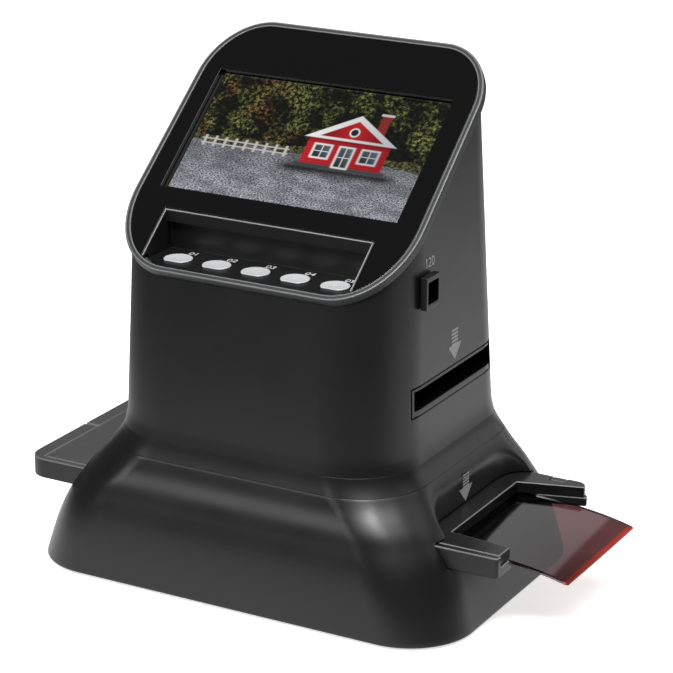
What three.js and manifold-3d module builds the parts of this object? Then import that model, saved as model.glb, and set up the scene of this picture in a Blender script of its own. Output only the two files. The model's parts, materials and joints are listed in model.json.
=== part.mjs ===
// Film negative scanner: a flared base, a draughted tower with a sloping display face, a slot for
// mounted film in the tower and a sliding tray for roll film through the base.
// Millimetres, +Z up, -Y is the front. Sizes are measured from the middle of the tower (X), the tower's
// datum line (Y) and the lower rim of the base (Z). The finished group is moved so that the origin is
// the middle of the whole part's footprint, on the surface that the feet stand on.
import * as THREE from "three";
import { mergeVertices } from "three/addons/utils/BufferGeometryUtils.js";
import Module from "manifold-3d";

const wasm = await Module();
wasm.setup();

// Shared clearances and counts
const overrun = 30;
const fit_gap = 0.3;
const slide_gap = 0.3;
const corner_steps = 7;
const round_sides = 20;
const small_sides = 12;
const flare_steps = 14;

// Tower skin, measured at the datum height, and its draught per millimetre of height
const datum_height = 100;
const tower_half_width = 58.8;
const tower_front = 62.6;
const tower_back = 34.8;
const tower_front_radius = 27.5;
const tower_rear_radius = 21.5;
const tower_spare = 46;
const side_draught_share = 0.02;
const front_draught_share = 0.05;
const back_draught_share = 0.09;
const tower_wall = 2.2;

// Base skin at the ground and the flare that joins it to the tower
const base_half_width = 89.1;
const base_front = 76.8;
const base_back = 48;
const base_radius = 25.9;
const flare_height = 64;
const flare_outline_shares = [[1, 0], [0.83, 0.25], [0.65, 0.43], [0.33, 0.63], [0.08, 0.8], [0.012, 0.9], [0, 1]];
const base_wall = 2;
const parting_rise = 2;
const lip_depth = 3;
const lip_wall = 1.2;

// Sloping face, its rim and its plate; the face is given by the place of the display's middle, its
// height above the upper channel and how far its rim stands out of the tower
const face_rise = 76.7;
const face_middle_back = -13.3;
const face_lean_degrees = 39.19;
const face_side_overhang = 1.7;
const face_front_overhang = 2.35;
const face_rear_overhang = 0.8;
const face_top_corner_share = 1.07;
const face_bottom_corner_share = 0.97;
const face_corner_along_share = 0.98;
const bezel_width = 2.3;
const bezel_thickness = 3.2;
const bezel_ledge = 1.2;
const plate_sink = 0.3;
const plate_thickness = 1.7;
const plate_gap = 0.15;
const plate_window_width = 98;
const plate_window_height = 55.6;
const plate_window_right = -1;
const plate_window_up = -0.6;

// Display and what stands behind it
const display_width = 101.6;
const display_height = 64;
const display_right = -0.65;
const display_glass_thickness = 1.1;
const display_frame_thickness = 2.2;
const display_frame_pocket = 1;
const display_frame_rim = 3;
const carrier_half_width = 48;
const carrier_low = -34;
const carrier_high = 38;
const carrier_corner = 6;
const carrier_thickness = 2;
const standoff_radius = 2.5;
const standoff_height = 4;
const board_thickness = 1.6;
const main_board_half_width = 38;
const main_board_low = 0;
const main_board_high = 36;
const chip_size = 14;
const chip_height = 1.5;
const chip_spread = 16;
const board_screw_spread = 32;
const board_screw_inset = 4;
const board_screw_head_radius = 2.6;
const board_screw_head = 1.2;
const board_screw_shank_radius = 1.1;
const board_screw_hole_radius = 1.35;
const board_screw_reach = 3.2;

// Button well in the lower edge of the face, its buttons and their board
const well_half_width = 42.6;
const well_rim = 0.8;
const well_depth = 20.3;
const well_ledge_rise = 1.3;
const well_floor = 1.6;
const well_undercut = 3.5;
const well_wall = 1.2;
const well_lip = 4.4;
const well_post_radius = 1.4;
const button_count = 5;
const button_pitch = 16.25;
const button_radius = 5.35;
const button_flat_share = 0.8;
const button_setback = 12.1;
const button_stand = 0.6;
const button_gap = 0.35;
const button_flange = 1;
const button_flange_thickness = 1;
const button_travel = 0.6;
const button_stem_radius = 1.2;
const button_board_drop = 9.3;
const button_board_depth = 12;
const button_board_overhang = 9.5;
const switch_size = 6;
const switch_height = 3.5;
const switch_bore_radius = 1.8;
const switch_floor = 0.4;
const stem_end_gap = 0.8;

// Upper film channel through the tower
const upper_channel_front = -42;
const upper_channel_back = 24;
const upper_channel_rise = 24.9;
const upper_channel_height = 10.8;
const upper_channel_side_wall = 2;
const upper_channel_floor = 2.2;
const upper_channel_roof = 1.4;
const upper_channel_gap = 0.25;
const gate_back = -11;
const upper_gate_width = 44;
const upper_gate_depth = 40;

// Bay in each side of the base, round the tray's slot
const bay_wall_place = 66.5;
const bay_back = -10.3;
const bay_half_length = 36.4;
const bay_corner_along = 14.5;
const bay_corner_across = 9.6;
const bay_rise = 14;
const bay_corner_steps = 8;

// Roll film tray, its lid and the film
const tray_back = -13.15;
const tray_half_depth = 40.55;
const tray_low = 24.2;
const tray_thickness = 7.8;
const tray_left = -101.4;
const tray_right = 99.3;
const tray_corner = 8;
const tray_far_corner = 4.5;
const tray_near_corner = 1.2;
const tray_slot_gap = 0.45;
const fork_start = 74.2;
const fork_near_cover = 3.75;
const fork_near_spread = 2.5;
const fork_far_cover = 1.95;
const fork_far_spread = 7.6;
const film_half_width = 30.25;
const film_back = -12.9;
const film_thickness = 0.3;
const film_bed = 2.9;
const film_channel = 0.7;
const film_side_gap = 0.4;
const film_left = -88;
const film_right = 121.5;
const film_droop = 4.85;
const film_droop_power_share = 2.6;
const film_steps = 12;
const arm_groove_drop = 1.3;
const cover_inset_left = 6.7;
const cover_inset_side = 3.3;
const cover_inset_right = 0.9;
const cover_gap = 0.3;
const tray_gate_width = 60;
const tray_gate_depth = 56;
const finger_groove_width = 1.2;
const finger_groove_depth = 0.8;
const knuckle_half_length = 2.8;
const knuckle_depth = 3.6;
const knuckle_gap = 0.4;
const knuckle_from_end = 12.5;
const hinge_pin_radius = 0.8;
const hinge_pin_hole_radius = 1;
const hinge_pin_half_length = 5.2;
const hinge_pin_hole_half_length = 5.5;
const hinge_pin_inset = 1.9;
const hinge_pin_drop = 1.9;

// Lower film channel, lamp and shroud inside the base
const channel_side_wall = 1.6;
const channel_floor = 1.7;
const channel_roof = 1.7;
const lamp_half_width = 40;
const lamp_half_depth = 36;
const lamp_wall = 2;
const diffuser_thickness = 1.8;
const led_columns = 3;
const led_rows = 3;
const led_pitch = 18;
const led_size = 4;
const led_height = 1.2;
const led_board_gap = 1;
const shroud_low_half_width = 34;
const shroud_low_half_depth = 32;
const shroud_high_half_width = 26;
const shroud_high_half_depth = 24;
const shroud_wall = 1.6;

// Bottom cover, feet and screws
const cover_sink = 1.2;
const bottom_cover_thickness = 2.2;
const bottom_cover_gap = 0.4;
const foot_stand = 1;
const foot_radius = 7;
const foot_across = 62;
const foot_front = -50;
const foot_rear = 24;
const boss_radius = 4.5;
const boss_across = 66;
const boss_front = -61;
const boss_rear = 34;
const boss_drop = 12;
const boss_bore_depth = 10;
const cover_screw_head_radius = 3;
const cover_screw_head = 1;
const cover_screw_shank_radius = 1.4;
const cover_screw_hole_radius = 1.65;
const cover_screw_length = 9;
const vent_count = 6;
const vent_pitch = 7;
const vent_width = 3;
const vent_length = 26;
const vent_back = 34;

// Camera above the upper gate, moved by the format knob
const optic_half_width = 26;
const optic_half_depth = 24;
const optic_wall = 1.8;
const optic_height = 22.3;
const optic_hole_radius = 10.5;
const rod_radius = 1.5;
const rod_hole_radius = 1.65;
const rod_spread = 19;
const rod_reach = 18;
const carriage_rise = 6;
const carriage_thickness = 3;
const carriage_half_width = 23;
const carriage_half_depth = 12;
const carriage_rod_gap = 0.45;
const barrel_radius = 7.8;
const barrel_gap = 0.3;
const barrel_bore_radius = 6;
const barrel_drop = 5;
const barrel_flange = 2.2;
const barrel_flange_thickness = 2;
const barrel_reach = 12;
const lens_radius = 5.7;
const lens_edge = 1.2;
const lens_bulge = 0.8;
const lens_drop = 3;
const lens_steps = 5;
const sensor_board_half = 15;
const sensor_half = 3.8;
const sensor_height = 1;
const knob_front = -37.2;
const knob_back = -27;
const knob_rise = 0.3;
const knob_height = 12.1;
const knob_stand = 2.9;
const knob_skin_gap = 0.35;
const knob_side_wall = 1.3;
const knob_rear_wall = 1;
const knob_end_wall = 2;
const knob_hollow = 2.1;
const knob_travel = 4;
const stem_front = -34.6;
const stem_back = -29.6;
const stem_rise = 5.5;
const stem_height = 4;
const stem_slot_gap = 0.45;
const arm_end = 54;
const arm_tab = 2;

// Socket board at the rear
const io_left = -36;
const io_right = 14;
const io_front = 15;
const io_rise = 4.3;
const io_wall_gap = 0.5;
const io_post_radius = 2.5;
const io_post_left = -30;
const io_post_right = 10;
const io_post_back = 19;
const card_left = -31;
const card_width = 25;
const card_depth = 17;
const card_height = 3.2;
const card_wall = 0.5;
const card_slit = 2.2;
const usb_left = 1;
const usb_width = 9;
const usb_depth = 7.5;
const usb_height = 3.3;
const usb_wall = 0.4;
const socket_hole_gap = 0.3;

// Heights from the ground up, worked out once
const tray_high = tray_low + tray_thickness;
const bay_top = tray_high + bay_rise;
const parting_height = bay_top + parting_rise;
const boss_top = parting_height - boss_drop;
const upper_channel_low = parting_height + upper_channel_rise;
const upper_channel_high = upper_channel_low + upper_channel_height;
const optic_top = upper_channel_high + optic_height;
const carriage_low = optic_top + carriage_rise;
const lens_place = carriage_low - lens_drop;
const barrel_top = carriage_low + barrel_reach;
const rod_top = carriage_low + rod_reach;
const knob_low = carriage_low + knob_rise;
const knob_high = knob_low + knob_height;
const stem_low = carriage_low + stem_rise;
const stem_high = stem_low + stem_height;
const io_height = upper_channel_high + io_rise;
const face_middle_height = upper_channel_high + face_rise;
const tower_top = face_middle_height + tower_spare;

// The face's reach along its slope, from where the slope meets the draughted tower
const face_turn = THREE.MathUtils.degToRad(face_lean_degrees);
const face_run = Math.cos(face_turn);
const face_climb = Math.sin(face_turn);
const face_above_datum = face_middle_height - datum_height;
const face_half_width = tower_half_width - side_draught_share * face_above_datum + face_side_overhang;
const front_at_face = tower_front - front_draught_share * face_above_datum + face_middle_back;
const back_at_face = tower_back - back_draught_share * face_above_datum - face_middle_back;
const face_bottom = front_at_face / (face_run - front_draught_share * face_climb) + face_front_overhang;
const face_top = back_at_face / (face_run + back_draught_share * face_climb) + face_rear_overhang;
const face_top_radius_across = tower_rear_radius * face_top_corner_share;
const face_top_radius_along = tower_rear_radius / face_run * face_corner_along_share;
const face_bottom_radius_across = tower_front_radius * face_bottom_corner_share;
const face_bottom_radius_along = tower_front_radius / face_run * face_corner_along_share;

// The button well hangs on the face's lower edge
const face_edge_back = face_middle_back - face_bottom * face_run;
const face_edge_height = face_middle_height - face_bottom * face_climb;
const well_top_back = face_edge_back + well_depth;
const well_back = well_top_back + well_undercut;
const well_ledge_height = face_edge_height + well_ledge_rise;
const well_top_height = face_middle_height + (well_top_back - face_middle_back) * face_climb / face_run;
const well_ceiling_height = well_top_height - well_lip;
const button_back = face_edge_back + button_setback;

// The fork's arms follow the film's edges
const fork_near_start = film_back - film_half_width + fork_near_cover;
const fork_near_end = fork_near_start - fork_near_spread;
const fork_far_start = film_back + film_half_width - fork_far_cover;
const fork_far_end = fork_far_start + fork_far_spread;

// Finishes
const satin_black = { color: 0x3a3a3b, roughness: 0.55, metalness: 0 };
const rim_grey = { color: 0x5a5b5d, roughness: 0.4, metalness: 0 };
const gloss_black = { color: 0x0b0b0c, roughness: 0.12, metalness: 0 };
const key_grey = { color: 0xb9bcbf, roughness: 0.35, metalness: 0 };
const picture_blue = { color: 0x6b7580, roughness: 0.2, metalness: 0 };
const film_red = { color: 0x6a2a2a, roughness: 0.12, metalness: 0 };
const board_green = { color: 0x1f5a3a, roughness: 0.5, metalness: 0 };
const steel = { color: 0xb0b2b5, roughness: 0.35, metalness: 1 };
const rubber_black = { color: 0x18181a, roughness: 0.9, metalness: 0 };
const lamp_white = { color: 0xe8e8e4, roughness: 0.5, metalness: 0 };
const lens_clear = { color: 0xc8d4e0, roughness: 0.05, metalness: 0 };

// Solid helpers
function to_solid(geometry) {
  const plain = geometry.clone();
  plain.deleteAttribute("normal");
  plain.deleteAttribute("uv");
  const merged = mergeVertices(plain);
  const vertProperties = Float32Array.from(merged.attributes.position.array);
  const triVerts = Uint32Array.from(merged.index.array);
  return new wasm.Manifold(new wasm.Mesh({ numProp: 3, vertProperties, triVerts }));
}

function to_geometry(solid) {
  const mesh = solid.getMesh();
  const geometry = new THREE.BufferGeometry();
  const places = [];
  for (let i = 0; i < mesh.vertProperties.length; i += mesh.numProp) {
    places.push(mesh.vertProperties[i], mesh.vertProperties[i + 1], mesh.vertProperties[i + 2]);
  }
  geometry.setAttribute("position", new THREE.Float32BufferAttribute(places, 3));
  geometry.setIndex(Array.from(mesh.triVerts));
  return geometry;
}

function join(first, ...others) {
  return others.reduce((whole, other) => whole.add(other), first);
}

function cut(first, ...others) {
  return others.reduce((rest, other) => rest.subtract(other), first);
}

function block(x0, x1, y0, y1, z0, z1) {
  const geometry = new THREE.BoxGeometry(x1 - x0, y1 - y0, z1 - z0);
  geometry.translate((x0 + x1) / 2, (y0 + y1) / 2, (z0 + z1) / 2);
  return to_solid(geometry);
}

// Upright cylinder from z0 to z1
function post(x, y, radius, z0, z1, sides = small_sides) {
  const geometry = new THREE.CylinderGeometry(radius, radius, z1 - z0, sides);
  geometry.rotateX(Math.PI / 2);
  geometry.translate(x, y, (z0 + z1) / 2);
  return to_solid(geometry);
}

// Cylinder along X from x0 to x1
function pin_along_x(y, z, radius, x0, x1) {
  const geometry = new THREE.CylinderGeometry(radius, radius, x1 - x0, small_sides);
  geometry.rotateZ(Math.PI / 2);
  geometry.translate((x0 + x1) / 2, y, z);
  return to_solid(geometry);
}

// Outline in the XY plane, extruded from z0 to z1
function slab(shape, z0, z1, curve_steps = corner_steps) {
  const geometry = new THREE.ExtrudeGeometry(shape, { depth: z1 - z0, bevelEnabled: false, curveSegments: curve_steps });
  geometry.translate(0, 0, z0);
  return to_solid(geometry);
}

// Turned profile of [radius, height] points about the Z axis, then moved to x, y
function turned(profile, x, y, sides = round_sides) {
  const points = profile.map(([radius, height]) => new THREE.Vector2(radius, height));
  const geometry = new THREE.LatheGeometry(points, sides);
  geometry.rotateX(Math.PI / 2);
  geometry.translate(x, y, 0);
  return to_solid(geometry);
}

// Closed body through loops of equal point count, each a list of [x, y, z]
function loft(loops) {
  const places = [];
  const faces = [];
  const count = loops[0].length;
  for (const loop of loops) {
    for (const point of loop) {
      places.push(...point);
    }
  }
  for (let level = 0; level + 1 < loops.length; level += 1) {
    for (let i = 0; i < count; i += 1) {
      const a = level * count + i;
      const b = level * count + (i + 1) % count;
      faces.push(a, b, b + count, a, b + count, a + count);
    }
  }
  for (const [level, turn] of [[0, false], [loops.length - 1, true]]) {
    const middle = places.length / 3;
    const sum = loops[level].reduce((total, point) => total.map((value, k) => value + point[k]), [0, 0, 0]);
    places.push(...sum.map((value) => value / count));
    for (let i = 0; i < count; i += 1) {
      const a = level * count + i;
      const b = level * count + (i + 1) % count;
      faces.push(middle, turn ? a : b, turn ? b : a);
    }
  }
  const geometry = new THREE.BufferGeometry();
  geometry.setAttribute("position", new THREE.Float32BufferAttribute(places, 3));
  geometry.setIndex(faces);
  return to_solid(geometry);
}

function piece(name, solid, finish, parent) {
  const mesh = new THREE.Mesh(to_geometry(solid), new THREE.MeshStandardMaterial(finish));
  mesh.name = name;
  parent.add(mesh);
  return mesh;
}

// Skin of tower and base: the flare's share of the base outline at each height
const flare_curve = new THREE.SplineCurve(
  flare_outline_shares.map(([out, up]) => new THREE.Vector2(out, up * flare_height)),
);
const flare_levels = flare_curve.getPoints(flare_steps);

function flare_share_at(height) {
  if (height >= flare_height) {
    return 0;
  }
  if (height <= 0) {
    return 1;
  }
  const above = flare_levels.findIndex((point) => point.y > height);
  const low = flare_levels[above - 1];
  const high = flare_levels[above];
  const along = (height - low.y) / (high.y - low.y);
  return low.x + (high.x - low.x) * along;
}

// Rounded outline of the skin at one height, drawn in by the inset
function skin_loop(height, inset) {
  const out = flare_share_at(height);
  const keep = 1 - out;
  const rise = height - datum_height;
  const half_width = (tower_half_width - side_draught_share * rise) * keep + base_half_width * out - inset;
  const front = (tower_front - front_draught_share * rise) * keep + base_front * out - inset;
  const back = (tower_back - back_draught_share * rise) * keep + base_back * out - inset;
  const front_radius = tower_front_radius * keep + base_radius * out - inset;
  const rear_radius = tower_rear_radius * keep + base_radius * out - inset;
  const corners = [
    [half_width - front_radius, front_radius - front, front_radius, 3],
    [half_width - rear_radius, back - rear_radius, rear_radius, 0],
    [rear_radius - half_width, back - rear_radius, rear_radius, 1],
    [front_radius - half_width, front_radius - front, front_radius, 2],
  ];
  const loop = [];
  for (const [x, y, radius, quarter] of corners) {
    for (let i = 0; i <= corner_steps; i += 1) {
      const angle = (quarter + i / corner_steps) * Math.PI / 2;
      loop.push([x + radius * Math.cos(angle), y + radius * Math.sin(angle), height]);
    }
  }
  return loop;
}

function skin_body(low, high, inset) {
  const between = flare_levels.map((point) => point.y).filter((height) => height > low && height < high);
  return loft([low, ...between, high].map((height) => skin_loop(height, inset)));
}

// The face's own frame: X across, Y up the slope, Z out of the face
const face_matrix = new THREE.Matrix4().makeRotationX(face_turn);
face_matrix.setPosition(0, face_middle_back, face_middle_height);

function from_face(solid) {
  const geometry = to_geometry(solid);
  geometry.applyMatrix4(face_matrix);
  return to_solid(geometry);
}

// Outline of the face, drawn in by the inset, with elliptic corners
function face_outline(inset) {
  const half = face_half_width - inset;
  const top = face_top - inset;
  const bottom = inset - face_bottom;
  const taper = side_draught_share * face_climb;
  const corners = [
    [face_bottom_radius_across - inset, face_bottom_radius_along - inset, 1, bottom, 3],
    [face_top_radius_across - inset, face_top_radius_along - inset, 1, top, 0],
    [face_top_radius_across - inset, face_top_radius_along - inset, -1, top, 1],
    [face_bottom_radius_across - inset, face_bottom_radius_along - inset, -1, bottom, 2],
  ];
  const points = [];
  for (const [across, along, side, end, quarter] of corners) {
    const middle_up = end > 0 ? end - along : end + along;
    for (let i = 0; i <= corner_steps; i += 1) {
      const angle = (quarter + i / corner_steps) * Math.PI / 2;
      const up = middle_up + along * Math.sin(angle);
      const sideways = side * (half - across) + across * Math.cos(angle);
      points.push(new THREE.Vector2(sideways * (1 - taper * up / face_half_width), up));
    }
  }
  return new THREE.Shape(points);
}

function rectangle(x0, x1, y0, y1) {
  const shape = new THREE.Shape();
  shape.moveTo(x0, y0);
  shape.lineTo(x1, y0);
  shape.lineTo(x1, y1);
  shape.lineTo(x0, y1);
  shape.closePath();
  return shape;
}

// Depths below the face plane, worked out once
const plate_low = -plate_sink - plate_thickness;
const glass_high = plate_low - fit_gap;
const glass_low = glass_high - display_glass_thickness;
const display_frame_high = glass_low - fit_gap;
const display_frame_low = display_frame_high - display_frame_thickness;
const carrier_top = display_frame_low - fit_gap;
const carrier_bottom = carrier_top - carrier_thickness;
const standoff_bottom = carrier_bottom - standoff_height;
const board_top = standoff_bottom - fit_gap;
const board_bottom = board_top - board_thickness;

// Heights inside the base, worked out once
const tray_front = tray_back - tray_half_depth;
const tray_rear = tray_back + tray_half_depth;
const channel_low = tray_low - slide_gap;
const channel_high = tray_high + slide_gap;
const channel_bottom = channel_low - channel_floor;
const channel_top = channel_high + channel_roof;
const cover_top = cover_sink + bottom_cover_thickness;
const diffuser_low = channel_bottom - diffuser_thickness;
const film_low = tray_low + film_bed;
const film_high = film_low + film_channel;

// Base housing
function bay_outline(inset) {
  const wall = bay_wall_place - inset;
  const mouth = bay_wall_place + bay_corner_across;
  const half = bay_half_length + inset;
  const far = base_half_width + overrun;
  const points = [new THREE.Vector2(far, bay_back - half)];
  for (const side of [-1, 1]) {
    for (let i = 0; i <= bay_corner_steps; i += 1) {
      const step = side < 0 ? i : bay_corner_steps - i;
      const angle = step / bay_corner_steps * Math.PI / 2;
      const x = mouth - (mouth - wall) * Math.sin(angle);
      const y = bay_back + side * (half - bay_corner_along + bay_corner_along * Math.cos(angle));
      points.push(new THREE.Vector2(x, y));
    }
  }
  points.push(new THREE.Vector2(far, bay_back + half));
  return new THREE.Shape(points);
}

function bay_cutters(inset) {
  const right = slab(bay_outline(inset), channel_low - inset, bay_top + inset);
  return [right, right.mirror([1, 0, 0])];
}

function boss_places() {
  const places = [];
  for (const x of [-boss_across, boss_across]) {
    for (const y of [boss_front, boss_rear]) {
      places.push([x, y]);
    }
  }
  return places;
}

function base_housing() {
  const outer = skin_body(0, parting_height, 0);
  let hollow = skin_body(-overrun, parting_height + overrun, base_wall);
  hollow = cut(hollow, ...bay_cutters(base_wall));
  let shell = cut(outer, hollow, ...bay_cutters(0));
  for (const [x, y] of boss_places()) {
    const boss = post(x, y, boss_radius, cover_top, boss_top, round_sides).intersect(outer);
    const bore = post(x, y, cover_screw_hole_radius, cover_top - overrun, cover_top + boss_bore_depth);
    shell = cut(join(shell, boss), bore);
  }
  const slot = block(
    -base_half_width - overrun, base_half_width + overrun,
    tray_front - tray_slot_gap, tray_rear + tray_slot_gap,
    channel_low, tray_high + tray_slot_gap,
  );
  return cut(shell, slot);
}

// Upper housing
function upper_housing() {
  const outer = skin_body(parting_height, tower_top, 0);
  const hollow = skin_body(parting_height - overrun, tower_top + overrun, tower_wall);
  const lip_top = parting_height + lip_depth;
  const lip_low = parting_height - lip_depth;
  const lip_inner = base_wall + fit_gap + lip_wall;
  const lip = cut(
    join(skin_body(lip_low, lip_top, base_wall + fit_gap), skin_body(parting_height, lip_top, tower_wall / 2)),
    skin_body(lip_low - overrun, lip_top + overrun, lip_inner),
  );
  let shell = join(cut(outer, hollow), lip);
  const reach = tower_top;
  const above_face = from_face(slab(rectangle(-reach, reach, -reach, reach), -bezel_thickness, reach));
  shell = cut(shell, above_face);
  const far = tower_half_width + overrun;
  const film_slot = block(
    -far, far,
    upper_channel_front - upper_channel_gap, upper_channel_back + upper_channel_gap,
    upper_channel_low - upper_channel_gap, upper_channel_high + upper_channel_gap,
  );
  const stem_slot = block(
    arm_end - arm_tab, far,
    stem_front - stem_slot_gap, stem_back + stem_slot_gap,
    stem_low - knob_travel - stem_slot_gap, stem_high + stem_slot_gap,
  );
  const socket_low = io_height + board_thickness;
  const card_slot = block(
    card_left + card_wall, card_left + card_width - card_wall,
    io_front + card_depth, tower_back + overrun,
    socket_low + card_wall, socket_low + card_wall + card_slit,
  );
  const usb_slot = block(
    usb_left - socket_hole_gap, usb_left + usb_width + socket_hole_gap,
    io_front + card_depth, tower_back + overrun,
    socket_low - socket_hole_gap, socket_low + usb_height + socket_hole_gap,
  );
  return cut(shell, film_slot, stem_slot, card_slot, usb_slot);
}

// Rim and plate of the face
function face_bezel() {
  const ring = slab(face_outline(0), -bezel_thickness, 0);
  const opening = slab(face_outline(bezel_width), plate_low - plate_gap, overrun);
  const through = slab(face_outline(bezel_width + bezel_ledge), -overrun, overrun);
  return cut(ring, opening, through);
}

function front_plate() {
  const window_half = plate_window_width / 2;
  const window_tall = plate_window_height / 2;
  const plate = slab(face_outline(bezel_width + plate_gap), plate_low, -plate_sink);
  const window = slab(
    rectangle(
      plate_window_right - window_half, plate_window_right + window_half,
      plate_window_up - window_tall, plate_window_up + window_tall,
    ),
    -overrun, overrun,
  );
  const notch_half = well_half_width + well_rim + plate_gap;
  const notch_top = (well_top_back + well_rim - face_middle_back) / face_run + plate_gap;
  const notch = slab(rectangle(-notch_half, notch_half, -face_bottom - overrun, notch_top), -overrun, overrun);
  return cut(plate, window, notch);
}

// Display and its carrier
function display_glass() {
  const half = display_width / 2;
  const tall = display_height / 2;
  return slab(rectangle(display_right - half, display_right + half, -tall, tall), glass_low, glass_high);
}

function display_frame() {
  const half = display_width / 2;
  const tall = display_height / 2;
  const rim = display_frame_rim;
  const frame = slab(rectangle(display_right - half, display_right + half, -tall, tall), display_frame_low, display_frame_high);
  const pocket = slab(
    rectangle(display_right - half + rim, display_right + half - rim, rim - tall, tall - rim),
    display_frame_low - overrun, display_frame_low + display_frame_pocket,
  );
  return cut(frame, pocket);
}

function board_screw_places() {
  const places = [];
  for (const x of [-board_screw_spread, board_screw_spread]) {
    for (const y of [main_board_low + board_screw_inset, main_board_high - board_screw_inset]) {
      places.push([x, y]);
    }
  }
  return places;
}

function rounded_rectangle(x0, x1, y0, y1, radius) {
  const shape = new THREE.Shape();
  shape.moveTo(x0 + radius, y0);
  shape.lineTo(x1 - radius, y0);
  shape.absarc(x1 - radius, y0 + radius, radius, -Math.PI / 2, 0, false);
  shape.lineTo(x1, y1 - radius);
  shape.absarc(x1 - radius, y1 - radius, radius, 0, Math.PI / 2, false);
  shape.lineTo(x0 + radius, y1);
  shape.absarc(x0 + radius, y1 - radius, radius, Math.PI / 2, Math.PI, false);
  shape.lineTo(x0, y0 + radius);
  shape.absarc(x0 + radius, y0 + radius, radius, Math.PI, Math.PI * 3 / 2, false);
  return shape;
}

function face_carrier() {
  const outline = rounded_rectangle(-carrier_half_width, carrier_half_width, carrier_low, carrier_high, carrier_corner);
  let carrier = slab(outline, carrier_bottom, carrier_top);
  for (const [x, y] of board_screw_places()) {
    carrier = join(carrier, post(x, y, standoff_radius, standoff_bottom, carrier_top, small_sides));
    carrier = cut(carrier, post(x, y, board_screw_hole_radius, standoff_bottom - overrun, carrier_bottom));
  }
  return carrier;
}

function main_board() {
  let board = slab(
    rectangle(-main_board_half_width, main_board_half_width, main_board_low, main_board_high),
    board_bottom, board_top,
  );
  const middle = (main_board_low + main_board_high) / 2;
  for (const x of [-chip_spread, chip_spread]) {
    const half = chip_size / 2;
    board = join(board, block(x - half, x + half, middle - half, middle + half, board_bottom - chip_height, board_top));
  }
  for (const [x, y] of board_screw_places()) {
    board = cut(board, post(x, y, board_screw_hole_radius, board_bottom - overrun, board_top + overrun));
  }
  return board;
}

function board_screw() {
  const head_top = -fit_gap;
  const head = post(0, 0, board_screw_head_radius, head_top - board_screw_head, head_top);
  const shank = post(0, 0, board_screw_shank_radius, head_top - board_screw_head, board_thickness + fit_gap + board_screw_reach);
  return join(head, shank);
}

// Button well, buttons and their board
function button_outline(radius) {
  const flat = Math.asin(button_flat_share);
  const shape = new THREE.Shape();
  shape.absarc(0, 0, radius, -flat, Math.PI + flat, false);
  return shape;
}

function button_places() {
  return Array.from({ length: button_count }, (_, i) => (i - (button_count - 1) / 2) * button_pitch);
}

function button_well() {
  const half = well_half_width + well_rim;
  const low = well_ledge_height - well_floor;
  const ceiling_top = well_ceiling_height + well_wall;
  const front = -tower_front - overrun;
  const lower_block = block(-half, half, front, well_back + well_wall, low, ceiling_top);
  const upper_block = block(-half, half, front, well_top_back + well_rim, low, face_middle_height);
  const lower_room = block(-well_half_width, well_half_width, front, well_back, well_ledge_height, well_ceiling_height);
  const upper_room = block(-well_half_width, well_half_width, front, well_top_back, well_ledge_height, face_middle_height);
  let well = cut(join(lower_block, upper_block), lower_room, upper_room);
  const inside_rim = from_face(slab(face_outline(bezel_width + plate_gap), plate_low, 0));
  const inside_ledge = from_face(slab(face_outline(bezel_width + bezel_ledge + plate_gap), -face_bottom, -plate_sink));
  const inside_shell = skin_body(parting_height, tower_top, tower_wall + fit_gap);
  well = well.intersect(join(inside_rim, inside_ledge.intersect(inside_shell)));
  for (const x of button_places()) {
    const hole = slab(button_outline(button_radius + button_gap), low - overrun, well_ledge_height + overrun);
    well = cut(well, hole.translate([x, button_back, 0]));
  }
  const post_low = well_ledge_height - button_board_drop;
  for (const x of [-button_pitch / 2, button_pitch / 2]) {
    well = join(well, post(x, button_back, well_post_radius, post_low, well_ledge_height - well_floor / 2));
  }
  return well;
}

function button() {
  const cap_low = -well_floor - button_travel - button_flange_thickness;
  const flange_high = -well_floor - button_gap;
  const stem_low_end = switch_height - button_board_drop - stem_end_gap;
  const cap = slab(button_outline(button_radius), cap_low, button_stand);
  const flange = post(0, 0, button_radius + button_flange, flange_high - button_flange_thickness, flange_high, round_sides);
  const stem = post(0, 0, button_stem_radius, stem_low_end, cap_low / 2);
  return join(cap, flange, stem);
}

function button_board() {
  const half_width = (button_count - 1) / 2 * button_pitch + button_board_overhang;
  const half_depth = button_board_depth / 2;
  const top = well_ledge_height - button_board_drop;
  const middle = button_back;
  let board = block(-half_width, half_width, middle - half_depth, middle + half_depth, top - board_thickness, top);
  for (const x of button_places()) {
    const half = switch_size / 2;
    board = join(board, block(x - half, x + half, middle - half, middle + half, top - board_thickness / 2, top + switch_height));
    board = cut(board, post(x, middle, switch_bore_radius, top + switch_floor, top + overrun));
  }
  return board;
}

// Upper channel
function upper_channel() {
  const far = tower_half_width + overrun;
  const tube = block(-far, far, upper_channel_front, upper_channel_back, upper_channel_low, upper_channel_high);
  const room = block(
    -far - overrun, far + overrun,
    upper_channel_front + upper_channel_side_wall, upper_channel_back - upper_channel_side_wall,
    upper_channel_low + upper_channel_floor, upper_channel_high - upper_channel_roof,
  );
  const gate = block(
    -upper_gate_width / 2, upper_gate_width / 2,
    gate_back - upper_gate_depth / 2, gate_back + upper_gate_depth / 2,
    upper_channel_low - overrun, upper_channel_high + overrun,
  );
  let channel = cut(tube.intersect(skin_body(parting_height, tower_top, 0)), room, gate);
  for (const x of [io_post_left, io_post_right]) {
    channel = join(channel, post(x, io_post_back, io_post_radius, upper_channel_high - upper_channel_roof / 2, io_height));
  }
  return channel;
}

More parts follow.
